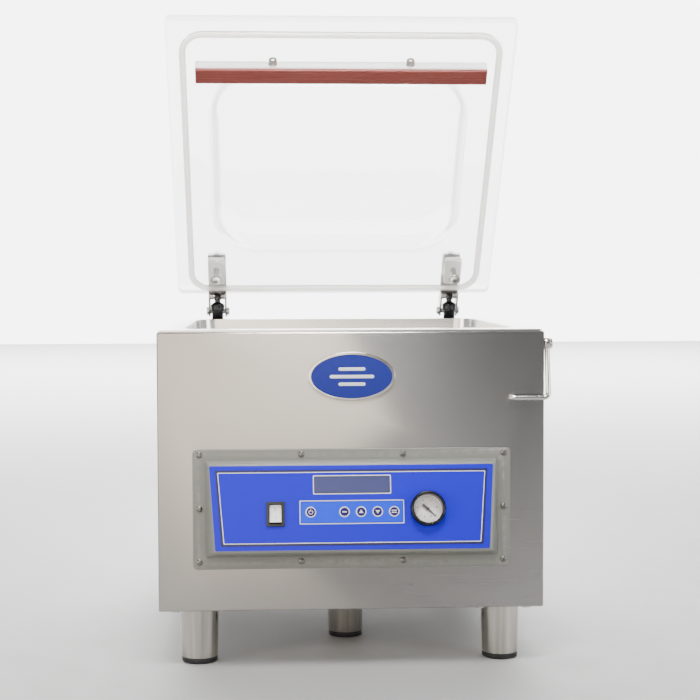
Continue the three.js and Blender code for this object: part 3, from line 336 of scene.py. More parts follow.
class Shader:
    """A Principled material whose detail comes from noise in the object's own space."""

    def __init__(self, name, colour, rough, metallic=0.0, **sockets):
        self.material = bpy.data.materials.new(name)
        self.material.use_nodes = True
        self.tree = self.material.node_tree
        self.colour = colour
        self.set(Base_Color=(*colour, 1), Roughness=rough, Metallic=metallic, **sockets)
        self.place = self.node("TexCoord", "Object")

    def node(self, kind, output, **sockets):
        return new_node(self.tree, kind, output, **sockets)

    def set(self, **sockets):
        fill(self.tree.nodes["Principled BSDF"], sockets)

    def mapped(self, **sockets):
        """The object's own space, moved or stretched."""
        return self.node("Mapping", "Vector", Vector=self.place, **sockets)

    def noise(self, scale, stretch=(1, 1, 1), detail=4.0, distortion=0.0):
        return self.node("TexNoise", "Fac", Vector=self.mapped(Scale=stretch), Scale=scale, Detail=detail,
                         Distortion=distortion)

    def rings(self, centre, scale, distortion):
        waves = self.node("TexWave", "Fac", Vector=self.mapped(Location=[-c for c in centre]), Scale=scale,
                          Distortion=distortion, Detail=3.0, Detail_Scale=2.0)
        waves.node.wave_type, waves.node.rings_direction = "RINGS", "SPHERICAL"
        return waves

    def ranged(self, value, low, high, from_low=0.3, from_high=0.7):
        return self.node("MapRange", "Result", Value=value, From_Min=from_low, From_Max=from_high, To_Min=low,
                         To_Max=high)

    def math(self, operation, a, b):
        result = self.node("Math", "Value")
        result.node.operation = operation
        fill(result.node, {0: a, 1: b})
        return result

    def add(self, a, b):
        return self.math("ADD", a, b)

    def times(self, a, b):
        return self.math("MULTIPLY", a, b)

    def even_mix(self, a, b):
        return self.add(self.times(a, 0.5), self.times(b, 0.5))

    def mix(self, factor, a, b):
        """From one colour to another; each is a tuple or a node's output."""
        node = self.tree.nodes.new("ShaderNodeMix")
        node.data_type = "RGBA"
        a, b = ((*colour, 1) if isinstance(colour, tuple) else colour for colour in (a, b))
        fill(node, {"Factor": factor, "A": a, "B": b})
        return node.outputs["Result"]

    def tone(self, factor, amount, tint=(1, 1, 1)):
        """Base colour that varies by amount either way, towards tint where it is light."""
        dark = tuple(c * (1 - amount) for c in self.colour)
        light = tuple(min(1, c * (1 + amount) * t) for c, t in zip(self.colour, tint))
        result = self.mix(factor, dark, light)
        self.set(Base_Color=result)
        return result

    def bump(self, height, strength, distance):
        self.set(Normal=self.node("Bump", "Normal", Height=height, Strength=strength, Distance=distance))

    def sideways(self):
        """1 where the surface faces along X, otherwise 0."""
        across = self.node("SeparateXYZ", "X", Vector=self.node("NewGeometry", "Normal"))
        return self.math("GREATER_THAN", self.math("ABSOLUTE", across, 0.0), 0.7)

    def wear_and_sheen_edges(self, base, colour):
        """Lighter paint or brighter metal where the mesh turns outwards: rubbed wear, and on the bezel also a
        painted highlight on its rounded edges.
        """
        edges = self.ranged(self.node("NewGeometry", "Pointiness"), 0.0, 1.0, 0.53, 0.6)
        patchy = self.times(edges, self.ranged(self.noise(160), 0.0, 1.0))
        self.set(Base_Color=self.mix(patchy, base, colour))


def brushed(name, colour, rough, stretch, smudge=0.02, anisotropic=0.0, relief=0.02, tone=0.04, wiped=None):
    """Satin steel: fine lines along one direction and a little unevenness; a large tone, as on the legs,
    paints reflection streaks along the lines.

    A wiped sheet has arcs left by a cloth, and its lines turn the corner on to the side walls.
    """
    s = Shader(name, colour, rough, 1.0, Anisotropic=anisotropic, Anisotropic_Rotation=0.25)
    lines, patches = s.noise(1.0, stretch, 4.0), s.noise(4.0, detail=3.0, distortion=0.8)
    if wiped:
        side = s.sideways()
        front = s.math("SUBTRACT", 1.0, side)
        turned = s.times(s.noise(1.0, (stretch[1], stretch[0], stretch[2]), 4.0), side)
        lines = s.add(s.times(lines, front), turned)
    s.tone(s.even_mix(lines, patches), tone, (1.0, 0.99, 0.97))
    uneven = s.add(s.ranged(lines, rough - 0.012, rough + 0.012), s.ranged(patches, -smudge, smudge))
    if wiped:
        arcs = s.times(s.rings(wiped, 9.0, 3.0), s.ranged(s.noise(3.0, detail=2.0), 0.0, 1.0, 0.42, 0.62))
        uneven = s.add(uneven, s.times(s.times(arcs, front), 0.015))
    s.set(Roughness=uneven)
    s.bump(lines, relief, 0.0004)
    return s.material


def plain(name, colour, rough, metallic=0.0, grain=900.0, relief=0.08, tone=0.05, edge_wear_and_sheen=None, **sockets):
    """Moulded, painted or cast surface: fine texture, soft unevenness and, if asked, lighter edges, which are
    rubbed wear and, on the bezel, also a painted highlight.
    """
    s = Shader(name, colour, rough, metallic, **sockets)
    fine, broad = s.noise(grain, detail=3.0), s.noise(14.0, detail=3.0)
    mottled = s.tone(s.even_mix(fine, broad), tone)
    s.set(Roughness=s.add(s.ranged(fine, rough - 0.04, rough + 0.04), s.ranged(broad, -0.03, 0.05)))
    s.bump(fine, relief, 0.0003)
    if edge_wear_and_sheen:
        s.wear_and_sheen_edges(mottled, edge_wear_and_sheen)
    return s.material


ALONG_X = (4.0, 1300.0, 1300.0)
SATIN = {"grain": 2600.0, "relief": 0.05, "Specular_IOR_Level": 0.2}
CLOUDY = {"Transmission_Weight": 0.55, "IOR": 1.3}
PRINT = {"grain": 2600.0, "relief": 0.03, "tone": 0.03}
LOOK = {
    "body": brushed("steel_body", (0.40, 0.39, 0.38), 0.25, ALONG_X, 0.006, 0.95, 0.003,
                    wiped=(0.16, -0.25, 0.30)),
    # the top plate and chamber use a much lighter copy of the cabinet's steel, painting in the light that
    # falls on the top
    "plate": brushed("steel_plate_painted_light", (0.84, 0.83, 0.81), 0.24, ALONG_X, 0.02, 0.2),
    # the legs' strong vertical tone streaks are partly brushing grain and partly painted reflection bands
    "leg": brushed("steel_leg_painted_reflections", (0.52, 0.495, 0.46), 0.13, (170.0, 170.0, 1.5), 0.02, 0.0, 0.15, 0.9),
    "bracket": brushed("steel_bracket", (0.46, 0.45, 0.43), 0.3, (200.0, 200.0, 200.0), 0.04),
    "bright": brushed("steel_bright", (0.66, 0.65, 0.63), 0.2, (400.0, 400.0, 400.0), 0.03),
    "fastener": brushed("steel_fastener", (0.34, 0.33, 0.31), 0.3, (900.0, 900.0, 900.0), 0.02),
    "screw": brushed("steel_screw", (0.20, 0.195, 0.185), 0.28, (900.0, 900.0, 900.0), 0.02),
    # the bezel's lighter edge colour is partly rubbed wear and partly a painted highlight on its top bevel
    # and rounded edges
    "bezel": plain("bezel_grey", (0.175, 0.18, 0.165), 0.42, grain=1400.0, relief=0.12,
                   edge_wear_and_sheen=(0.32, 0.325, 0.31)),
    "overlay": plain("overlay_blue", (0.009, 0.004, 0.53), 0.36, tone=0.04, **SATIN),
    "keypad": plain("keypad_blue", (0.003, 0.044, 0.80), 0.36, tone=0.03, **SATIN),
    "navy": plain("key_navy", (0.018, 0.010, 0.10), 0.36, tone=0.04, **SATIN),
    # dark navy that paints shadow lines beside the white borders
    "painted_shadow_line": plain("painted_shadow_navy", (0.008, 0.006, 0.055), 0.4, **PRINT),
    "print_white": plain("print_white", (0.66, 0.66, 0.72), 0.4, **PRINT),
    "print_red": plain("print_red", (0.45, 0.10, 0.09), 0.5, **PRINT),
    "print_gold": plain("print_gold", (0.50, 0.30, 0.06), 0.4, **PRINT),
    # black print; the same colour also paints the shadow in the display window's recess
    "ink_and_shade": plain("print_black_and_painted_shade", (0.02, 0.02, 0.025), 0.5, **PRINT),
    "window": plain("display_window", (0.048, 0.056, 0.16), 0.3, grain=500.0, relief=0.01, tone=0.08,
                    Specular_IOR_Level=0.3),
    "dial": plain("dial_paper", (0.92, 0.91, 0.95), 0.55, grain=1800.0, relief=0.04, tone=0.02),
    "black": plain("black_plastic", (0.012, 0.013, 0.014), 0.42, grain=1600.0, relief=0.15, tone=0.15,
                   edge_wear_and_sheen=(0.04, 0.04, 0.04)),
    "gloss_black": plain("black_gloss", (0.004, 0.004, 0.005), 0.28, grain=300.0, relief=0.02, tone=0.1,
                         Specular_IOR_Level=0.35),
    "rubber": plain("foot_rubber", (0.006, 0.006, 0.007), 0.6, grain=1100.0, relief=0.3, tone=0.2,
                    edge_wear_and_sheen=(0.012, 0.012, 0.012)),
    "white": plain("white_nylon", (0.93, 0.93, 0.92), 0.55, grain=900.0, relief=0.06, tone=0.02, **CLOUDY),
    "silicone": plain("silicone_red", (0.15, 0.021, 0.013), 0.5, grain=700.0, relief=0.2, tone=0.10),
    "gasket": plain("gasket_cream", (0.93, 0.92, 0.88), 0.6, grain=800.0, relief=0.2, tone=0.03, **CLOUDY),
    "enamel": plain("badge_enamel", (0.014, 0.022, 0.20), 0.4, grain=2600.0, relief=0.01, tone=0.03,
                    Specular_IOR_Level=0.2),
    "paint": plain("machine_paint", (0.16, 0.18, 0.20), 0.45, 0.1, grain=500.0, relief=0.3, tone=0.1,
                   edge_wear_and_sheen=(0.4, 0.4, 0.4)),
    "cast": plain("cast_aluminium", (0.50, 0.50, 0.51), 0.5, 0.9, grain=420.0, relief=0.35, tone=0.1),
    "copper": plain("copper_winding", (0.42, 0.20, 0.09), 0.4, 0.7, grain=600.0, relief=0.3, tone=0.2),
    "brass": plain("machined_brass", (0.50, 0.38, 0.14), 0.3, 1.0, grain=700.0, relief=0.1, tone=0.08),
    "board": plain("board_green", (0.02, 0.12, 0.05), 0.35, grain=260.0, relief=0.2, tone=0.25),
    "tape": plain("seal_bar_tape", (0.34, 0.20, 0.09), 0.5, grain=1500.0, relief=0.3, tone=0.12),
    "pin_metal": plain("pin_plated", (0.62, 0.60, 0.55), 0.25, 1.0, grain=500.0, relief=0.05, tone=0.05),
}


def clear_acrylic():
    """Clear sheet with faint haze and hairline scratches."""
    rough, haze = 0.05, 0.06
    s = Shader("clear_acrylic", (0.78, 0.79, 0.80), rough, Transmission_Weight=1.0, IOR=1.2, Alpha=0.55)
    scratches, broad = s.noise(90.0, (1.0, 9.0, 1.0), 6.0, 0.6), s.noise(9.0, detail=3.0)
    s.tone(broad, 0.012)
    s.set(Roughness=s.add(s.ranged(scratches, rough, rough + haze * 0.5), s.ranged(broad, 0.0, haze)))
    s.bump(scratches, 0.015, 0.0003)
    return s.material


def lens_glass():
    """A flat lens: mostly see-through, with a little gloss."""
    s = Shader("gauge_glass", (0.9, 0.92, 0.92), 0.06, Alpha=0.03)
    s.set(Roughness=s.ranged(s.noise(40.0), 0.04, 0.09))
    return s.material


LOOK["acrylic"] = clear_acrylic()
LOOK["glass"] = lens_glass()
LOOK["spring"] = LOOK["gloss_black"]


# ------------------------------------------------------------------ camera, light and floor
def make_camera():
    data = bpy.data.cameras.new("camera")
    data.lens, data.sensor_width = 78.83, 36
    data.clip_start, data.clip_end = 0.05, 50
    turn, pitch, roll = math.radians(-3.17), math.radians(90 - 2.83), math.radians(-0.14)
    place = CABINET @ Vector((-108.9, -1926.1, 425.4))
    camera = placed("camera", data)
    camera.matrix_world = (Matrix.Translation(place) @ Matrix.Rotation(turn, 4, "Z")
                           @ Matrix.Rotation(pitch, 4, "X") @ Matrix.Rotation(roll, 4, "Z"))
    bpy.context.scene.camera = camera


def make_light(name, place, target, size, power, colour=(1, 1, 1), spread=180):
    data = bpy.data.lights.new(name, "AREA")
    data.shape, data.size, data.size_y = "RECTANGLE", *size
    data.energy, data.color, data.spread = power, colour, math.radians(spread)
    light = placed(name, data)
    light.location = place
    light.visible_camera = False
    light.rotation_euler = (Vector(target) - Vector(place)).to_track_quat("-Z", "Y").to_euler()


def make_world():
    """A white cove behind the object that falls off to a grey room in front of it."""
    world = bpy.data.worlds.new("studio")
    world.use_nodes = True
    bpy.context.scene.world = world
    tree = world.node_tree
    depth = new_node(tree, "SeparateXYZ", "Y", Vector=new_node(tree, "TexCoord", "Generated"))
    fade = new_node(tree, "MapRange", "Result", Value=depth, From_Min=-1.0, From_Max=1.0)
    grey = new_node(tree, "ValToRGB", "Color", Fac=fade)
    stops = ((0.0, 0.03), (0.5, 0.07), (0.7, 0.14), (0.84, 0.45), (0.93, 1.0))
    elements = grey.node.color_ramp.elements
    for position, value in stops[1:-1]:
        elements.new(position)
    for element, (position, value) in zip(elements, stops):
        element.position, element.color = position, (value, value, value, 1)
    fill(tree.nodes["Background"], {"Color": grey, "Strength": 6.5})


def make_floor():
    half = 9
    square = mesh_from([(-half, -half, 0), (half, -half, 0), (half, half, 0), (-half, half, 0)],
                       [(0, 1, 2, 3)])
    floor = placed("floor", stored("floor", square))
    pale = plain("floor_pale", (0.40, 0.40, 0.40), 0.7, grain=60.0, relief=0.02, tone=0.01)
    floor.data.materials.append(pale)


make_camera()
make_world()
make_floor()
make_light("panel", (-0.50, -1.9, 0.68), (-0.50, 0, 0.60), (1.15, 1.3), 15, (1, 0.87, 0.70))
make_light("top", (0, -1.0, 2.0), (0, -0.27, 0.25), (0.7, 0.4), 3.0, spread=44)
make_light("lid", (0, -1.3, 2.4), (0, 0.12, 0.78), (0.6, 0.6), 7, spread=24)
make_light("left", (-2.0, -1.5, 0.6), (0, 0, 0.4), (0.9, 0.9), 28, (1, 0.97, 0.93))
make_light("right", (2.0, -1.5, 0.6), (0, 0, 0.4), (0.9, 0.9), 22)
make_light("back", (0.0, 6.0, 4.2), (0, 6.0, 0.0), (10.0, 4.6), 2500, spread=135)


# ------------------------------------------------------------------ cabinet
CHAMBER = {"box": (-212, 212, 45, 458), "r": 28, "floor": 266}
NOTCH_HALF, NOTCH_FRONT = 18, 477
PORT_X, PORT_Y = 120, 400
SEAL_Y, GUIDE_X = 80.5, 120
LEGS = {"front_left": (-195.3, 45), "front_right": (195.3, 45), "centre": (0, 178),
        "rear_left": (-195.3, DEPTH - 48), "rear_right": (195.3, DEPTH - 48)}
LEG_TOP_R, LEG_FOOT_R, CAP_HEIGHT = 25, 23.2, 6.5
FLANGE_HALF, FLANGE_LOW, FLANGE_TOP, FLANGE_BOLT = 38, 2.2, 5.7, 30
INLET_X, INLET_Z = -165, 52
EXHAUST_X, EXHAUST_Z, EXHAUST_R = 150, 62, 17


def button_screw(at, axis, r, recess="cross"):
    """A domed screw head whose underside is at the point; the drive is cut into the dome."""
    dome = [(r, -0.4), (r, r * 0.16)]
    dome += [(r * math.cos(a), r * (0.16 + 0.42 * math.sin(a))) for a in (0.5, 0.9, 1.25)] + [(0, r * 0.58)]
    head = lathe(dome, sides=28)
    top = r * 0.8
    if recess == "cross":
        slots = join(block((-r * 0.5, r * 0.5), (-r * 0.11, r * 0.11), (r * 0.22, top)),
                     block((-r * 0.11, r * 0.11), (-r * 0.5, r * 0.5), (r * 0.22, top)))
    else:
        slots = prism(circle(0, 0, r * 0.42, 6), "z", r * 0.18, top)
    return stand(cut(head, slots), at, axis)


def make_shell():
    half, lip, fold = WIDTH / 2, 14, 2.2
    outer = soften(block((-half, half), (0, DEPTH), (0, PANEL_TOP)), fold, 4)
    inside = block((-half + SHEET, half - SHEET), (SHEET, DEPTH + 5), (SHEET, PANEL_TOP - SHEET))
    open_top = block((-half + lip, half - lip), (lip, DEPTH + 5), (PANEL_TOP - 5, PANEL_TOP + 5))
    open_low = block((-half + 8, half - 8), (8, DEPTH + 5), (-5, 5))
    open_back = block((-half + SHEET, half - SHEET), (DEPTH - 8, DEPTH + 5), (SHEET, PANEL_TOP - SHEET))
    window = block((-179, 179), (-5, SHEET + 1), (75.4, 186.2))
    shell = cut(outer, inside, open_top, open_low, open_back, window)
    piece("cabinet_sheet", shell, "body", replaces="body_shell", sharp=20)


def make_tank():
    plate = (-243, 243, 2.2, DEPTH - 2)
    top = loft([level(plate, 0, PANEL_TOP + GAP, 4), level(plate, 0, PLATE_TOP - 1.6, 4),
                level(plate, 0.2, PLATE_TOP - 0.8, 4), level(plate, 0.7, PLATE_TOP - 0.25, 4),
                level(plate, 1.6, PLATE_TOP, 4)])
    mouth, floor, r = CHAMBER["box"], CHAMBER["floor"], CHAMBER["r"]
    wall = [(-6.5, PLATE_TOP + 2, 34), (-6.2, PLATE_TOP, 34), (-3.6, PLATE_TOP - 0.5, 31),
            (-1.2, PLATE_TOP - 2.2, 29), (0, PLATE_TOP - 6, r), (4, floor + 14, 26), (6.2, floor + 7, 25),
            (10.5, floor + 2.2, 23), (18, floor, 20)]
    hollow = loft([level(mouth, i, z, radius) for i, z, radius in curved(wall, 3)])
    outer = loft([level(mouth, -2, PLATE_TOP - 2, 30), level(mouth, 2, floor + 14, 28),
                  level(mouth, 5, floor + 3, 26), level(mouth, 15, floor - 2, 22)])
    notches = [block(span(s * HINGE_X, NOTCH_HALF), (NOTCH_FRONT, DEPTH + 5), (PANEL_TOP - 5, PLATE_TOP + 5))
               for s in (-1, 1)]
    guides = [post(s * GUIDE_X, SEAL_Y, 250, 280, 6) for s in (-1, 1)]
    port = post(PORT_X, PORT_Y, 250, 280, 11.5)
    piece("chamber_and_plate", cut(join(top, outer), hollow, *notches, *guides, port), "plate",
          replaces="chamber_tank", sharp=28)
    rings = [lathe([(6.2, floor + 0.1), (11, floor + 0.1), (11, floor + 1.4), (9.5, floor + 2),
                    (6.2, floor + 2), (6.2, floor + 0.1)], (s * GUIDE_X, SEAL_Y, 0)) for s in (-1, 1)]
    grille = cut(lathe([(17, floor + 0.1), (17, floor + 1.2), (15.5, floor + 2.2)], (PORT_X, PORT_Y, 0)),
                 *[post(x, y, floor - 3, floor + 6, 2.6, 20) for x, y in circle(PORT_X, PORT_Y, 9, 6)])
    piece("chamber_fittings", merged(grille, *rings), "bright")


def make_seal_bar():
    low, top, half = 301, 329, 200
    profile = [(-9, low), (9, low)]
    profile += arc(6.5, top - 2.5, 2.5, 0, 90, 5) + arc(-6.5, top - 2.5, 2.5, 90, 180, 5)
    body = soften(prism([(SEAL_Y + y, z) for y, z in profile], "x", -half, half), 0.6, 2, 60)
    rods = [post(s * GUIDE_X, SEAL_Y, 218, low + 2, 5) for s in (-1, 1)]
    piece("seal_bar_body", join(body, *rods), "cast", "seal_bar", replaces="seal_bar")
    outer = arc(6.6, top - 2.5, 2.9, 0, 90, 5) + arc(-6.6, top - 2.5, 2.9, 90, 180, 5)
    inner = [(-9.1, top - 14), (-9.1, top - 2.5), (-6.6, top + 0.1), (6.6, top + 0.1), (9.1, top - 2.5),
             (9.1, top - 14)]
    strip = [(9.5, top - 14)] + outer + [(-9.5, top - 14)] + inner
    tape = prism([(SEAL_Y + y, z) for y, z in strip], "x", -half + 6, half - 6)
    piece("seal_bar_tape", tape, "tape", "seal_bar", sharp=40)
    wires = [soften(block(span(0, half - 8), span(SEAL_Y + y, w / 2), (top + 0.25, top + 0.5)), 0.08, 1)
             for y, w in ((-2.6, 3), (3.2, 1.6))]
    piece("seal_bar_wires", merged(*wires), "pin_metal", "seal_bar")
    ends = [soften(block(span(s * (half - 4), 6), span(SEAL_Y, 5), (top - 20, top - 12)), 0.8, 2)
            for s in (-1, 1)]
    piece("seal_bar_clamps", merged(*ends), "brass", "seal_bar")


def make_back():
    y0, y1 = DEPTH - SHEET, DEPTH
    edge = SHEET + GAP
    half = WIDTH / 2 - edge
    panel = soften(block((-half, half), (y0, y1), (edge, PANEL_TOP - edge)), 0.5, 2)
    cuts, hoods = [], []
    for s in (-1, 1):
        cuts.append(block(span(s * HINGE_X, NOTCH_HALF), (y0 - 4, y1 + 4), (336, 360)))
        for row in range(7):
            z, x = 122 + row * 15, s * 95
            cuts.append(prism(centred(90, 5, x, z, 2.2, 5), "y", y0 - 4, y1 + 4))
            lip = prism([(y1 - 0.4, z + 4.4), (y1 + 1.2, z + 4.2), (y1 + 3.2, z - 0.2), (y1 + 3.2, z - 1.4),
                         (y1 + 2.2, z - 1.2), (y1 + 0.6, z + 2.6), (y1 - 0.4, z + 2.8)], "x", x - 46, x + 46)
            hoods.append(soften(lip, 0.3, 2, 40))
    cuts.append(block(span(INLET_X, 24), (y0 - 4, y1 + 4), span(INLET_Z, 14)))
    cuts.append(bar((EXHAUST_X, y0 - 4, EXHAUST_Z), (EXHAUST_X, y1 + 4, EXHAUST_Z), EXHAUST_R))
    piece("rear_panel_sheet", cut(panel, *cuts), "body", replaces="back_panel", sharp=20)
    piece("rear_louvre_hoods", merged(*hoods), "body")
    spots = [(x, z) for x in (-229, -76, 76, 229) for z in (18, 328)] + [(x, 173) for x in (-229, 229)]
    heads = [button_screw((x, y1, z), (0, 1, 0), 4.2) for x, z in spots]
    piece("rear_panel_screws", merged(*heads), "bright")
    rim = lathe([(EXHAUST_R - 4.5, -0.8), (EXHAUST_R - 0.6, -0.8), (EXHAUST_R - 0.6, 0.3),
                 (EXHAUST_R + 4, 0.3), (EXHAUST_R + 4, 2), (EXHAUST_R + 2.6, 3.2), (EXHAUST_R - 3, 3.2),
                 (EXHAUST_R - 4.5, 2), (EXHAUST_R - 4.5, -0.8)], (EXHAUST_X, y1, EXHAUST_Z), (0, 1, 0))
    bars = [soften(block(span(EXHAUST_X, w), (y1 + 0.6, y1 + 2.2), span(EXHAUST_Z + k, 1)), 0.4, 2)
            for k, w in ((-8, 11), (-4, 13), (0, 13.6), (4, 13), (8, 11))]
    piece("exhaust_grille", merged(rim, *bars), "black")
    flange = soften(prism(centred(62, 36, INLET_X, INLET_Z, 4), "y", y1 + GAP, y1 + 3.5), 0.7, 2)
    body = block(span(INLET_X, 23.5), (y1 - 26, y1 + 1), span(INLET_Z, 13.5))
    shape = [(INLET_X + a, INLET_Z + b) for a, b in ((-13, -9), (13, -9), (13, 4), (8, 9), (-8, 9), (-13, 4))]
    socket = cut(join(flange, body), soften(prism(shape, "y", y1 - 16, y1 + 9), 1, 2))
    pins = [soften(block(span(INLET_X + dx, 1), (y1 - 18, y1 - 2), span(INLET_Z + dz, 2)), 0.4, 2)
            for dx, dz in ((-7, 0), (0, 3), (7, 0))]
    piece("mains_inlet", socket, "black", replaces="power_inlet")
    piece("mains_inlet_pins", merged(*pins), "pin_metal")


def make_legs():
    for name, (x, y) in LEGS.items():
        low = -LEG_HEIGHT + CAP_HEIGHT + GAP
        tube = lathe([(LEG_TOP_R, FLANGE_LOW + 1), (LEG_TOP_R, FLANGE_LOW),
                      (LEG_TOP_R - 0.1, -1), (LEG_FOOT_R + 0.15, low + 2), (LEG_FOOT_R, low + 0.8),
                      (LEG_FOOT_R - 0.7, low)], (x, y, 0), sides=72)
        square = centred(2 * FLANGE_HALF, 2 * FLANGE_HALF, x, y, 5)
        flange = soften(prism(square, "z", FLANGE_LOW, FLANGE_TOP), 0.6, 2)
        weld = lathe([(LEG_TOP_R - 1, FLANGE_LOW + 0.5), (LEG_TOP_R + 2.2, FLANGE_LOW + 0.5),
                      (LEG_TOP_R + 1.4, FLANGE_LOW - 0.9), (LEG_TOP_R + 0.1, FLANGE_LOW - 2.2),
                      (LEG_TOP_R - 1, FLANGE_LOW - 2.4), (LEG_TOP_R - 1, FLANGE_LOW + 0.5)], (x, y, 0),
                     sides=72)
        piece(f"leg_{name}_tube", merged(tube, flange, weld), "leg", replaces=f"leg_{name}")
        bolts = []
        for bx in span(x, FLANGE_BOLT):
            for by in span(y, FLANGE_BOLT):
                head = prism(circle(bx, by, 6.2, 6), "z", -3.2, FLANGE_LOW - 0.9)
                washer = lathe([(7.4, FLANGE_LOW - 1), (7.4, FLANGE_LOW)], (bx, by, 0), sides=32)
                bolts += [soften(head, 0.5, 2), washer]
        piece(f"leg_{name}_bolts", merged(*bolts), "bright")
        top = -LEG_HEIGHT + CAP_HEIGHT
        profile = [(LEG_FOOT_R - inset, top - drop) for inset, drop in (
            (0.5, 0), (0, 0.5), (0, 1.4), (0.5, 1.7), (0.5, 2.1), (0, 2.4))]
        profile += [(r - 3.2 + LEG_FOOT_R, z - LEG_HEIGHT + 3.2) for r, z in arc(0, 0, 3.2, 0, -90, 6)]
        piece(f"foot_{name}", lathe(profile + [(0, -LEG_HEIGHT)], (x, y, 0), sides=72), "rubber",
              replaces=f"leg_cap_{name}", sharp=50)


def make_hook():
    y, z, x, bar_x, bar_y, bar_z, bend, r = 8, 337, 249.5, 201, -4.2, 268.8, 7, 3.4
    pivot, corner, end = Vector((x, y, z)), Vector((x, bar_y, bar_z)), Vector((bar_x, bar_y, bar_z))
    down = (corner - pivot).normalized()
    before, after = corner - down * bend, corner + Vector((-bend, 0, 0))
    path = [pivot.lerp(before, k / 6) for k in range(6)]
    path += [before.lerp(corner, k / 10).lerp(corner.lerp(after, k / 10), k / 10) for k in range(11)]
    path += [after.lerp(end, k / 6) for k in range(1, 7)]
    eye = soften(axle(x, y, z, r, 7.5), 0.7, 3, 60)
    hook = cut(join(sweep(path, r, 28), eye), axle(x, y, z, 12, 3.4))
    piece("lid_hook_wire", hook, "bright", "hold_down_hook", replaces="hold_down_hook", sharp=45)
    wall = WIDTH / 2 + GAP
    profile = [(8, 0), (8, 0.7), (3, 0.7), (3, 8.2), (7, 8.2), (7, 9.2), (6.4, 10.2), (4.6, 11.2), (0, 11.8)]
    slots = [block((wall + 10.4, wall + 14), span(y, w), span(z, h)) for w, h in ((0.7, 5), (5, 0.7))]
    screw = cut(lathe(profile, (wall, y, z), (1, 0, 0)), *slots)
    piece("lid_hook_screw", screw, "bright", replaces="hook_pivot")


def make_badge():
    z, a, b = 296.6, 55, 31

    def ellipse(by, sides=96):
        return [((a - by) * math.cos(t), z + (b - by) * math.sin(t))
                for t in (2 * math.pi * k / sides for k in range(sides))]

    rim = cut(soften(prism(ellipse(0), "y", -GAP - 1.9, -GAP), 0.7, 3),
              prism(ellipse(3.2), "y", -9, -GAP - 0.7))
    piece("badge_rim", rim, "bright", replaces="badge")
    dome = ((3.3, 0.75), (3.5, 1.15), (6, 1.45), (14, 1.8), (22, 2.0), (28, 2.05))
    field = skin([[(x, -GAP - out, up) for x, up in ellipse(by)] for by, out in dome])
    piece("badge_field", field, "enamel")
    marks = [soften(prism(centred(w, 4.2, 0, z + dz, 2.05, 6), "y", -GAP - 2.5, -GAP - 1.6), 0.2, 2)
             for dz, w in ((9.5, 34), (0, 56), (-9.5, 34))]
    piece("badge_bars", merged(*marks), "print_white")


def make_brackets():
    for side, _ in SIDES:
        refined(f"hinge_bracket_{side}", 0.5)
    refined("base_tray", 0.4)


# ------------------------------------------------------------------ control panel
DISPLAY = {"u": -1.2, "v": 28.8, "w": 96.4, "h": 22.6}
KEYPAD = {"u": -1.9, "v": -5.6, "w": 131, "h": 30}
BUTTON_V = -5.4
BUTTONS = {"power": -53.2, "set": -11.2, "up": 9.6, "down": 30.3, "stop": 51}
BUTTON_R = 6.6
ROCKER = {"u": -97.2, "v": -7.4, "w": 23, "h": 31, "pivot": -3.5, "tilt": math.radians(-9)}
GAUGE_U, GAUGE_V, GAUGE_HOLE_R = 93.3, -2.5, 19.1
NEEDLE_REST, NEEDLE_SWEEP = -42, 264
DIAL_Z = -2.6
DIAL_PRINT = (DIAL_Z - 0.02, DIAL_Z + 0.05)
BEZEL_SCREWS = ([(x, z) for x in (-192.7, -64.3, 64.3, 192.7) for z in (63, 199)]
                + [(-192.7, 130.8), (192.7, 130.8)])
FACE_ON_CABINET = CABINET.inverted() @ FACE


def around(part, grow, r):
    """The outline of a part of the face, made larger by grow."""
    return centred(part["w"] + grow, part["h"] + grow, part["u"], part["v"], r)


def pad(part, grow, r, z0, z1):
    return prism(around(part, grow, r), "z", z0, z1)


def edge_of(part, grow):
    return lambda by: around(part, grow - 2 * by, 1.2)


def on_face(bm):
    bm.transform(FACE_ON_CABINET)
    return bm


def frame_line(outline, thickness, z0, z1):
    """A printed line, or a painted shadow line: outline(by) gives the outer edge moved inwards."""
    return cut(prism(outline(0), "z", z0, z1), prism(outline(thickness), "z", z0 - 1, z1 + 1))


def wedge(by, back):
    (ty, tz), (fy, fz) = FACE_TOP, FACE_BOTTOM
    half, top_half, low_half = 186 + by, FACE_TOP_HALF + by * 0.8, FACE_BOTTOM_HALF + by * 0.8
    z0, z1 = 68.4 - by, 193.2 + by
    points = [(-half, back, z0), (half, back, z0), (half, back, z1), (-half, back, z1),
              (-low_half, fy - by * 0.95, fz - by * 0.6), (low_half, fy - by * 0.95, fz - by * 0.6),
              (top_half, ty - by * 0.95, tz + by * 0.6), (-top_half, ty - by * 0.95, tz + by * 0.6)]
    sides = [(0, 1, 5, 4), (1, 2, 6, 5), (2, 3, 7, 6), (3, 0, 4, 7)]
    return mesh_from(points, [(0, 1, 2, 3), (4, 5, 6, 7), *sides])


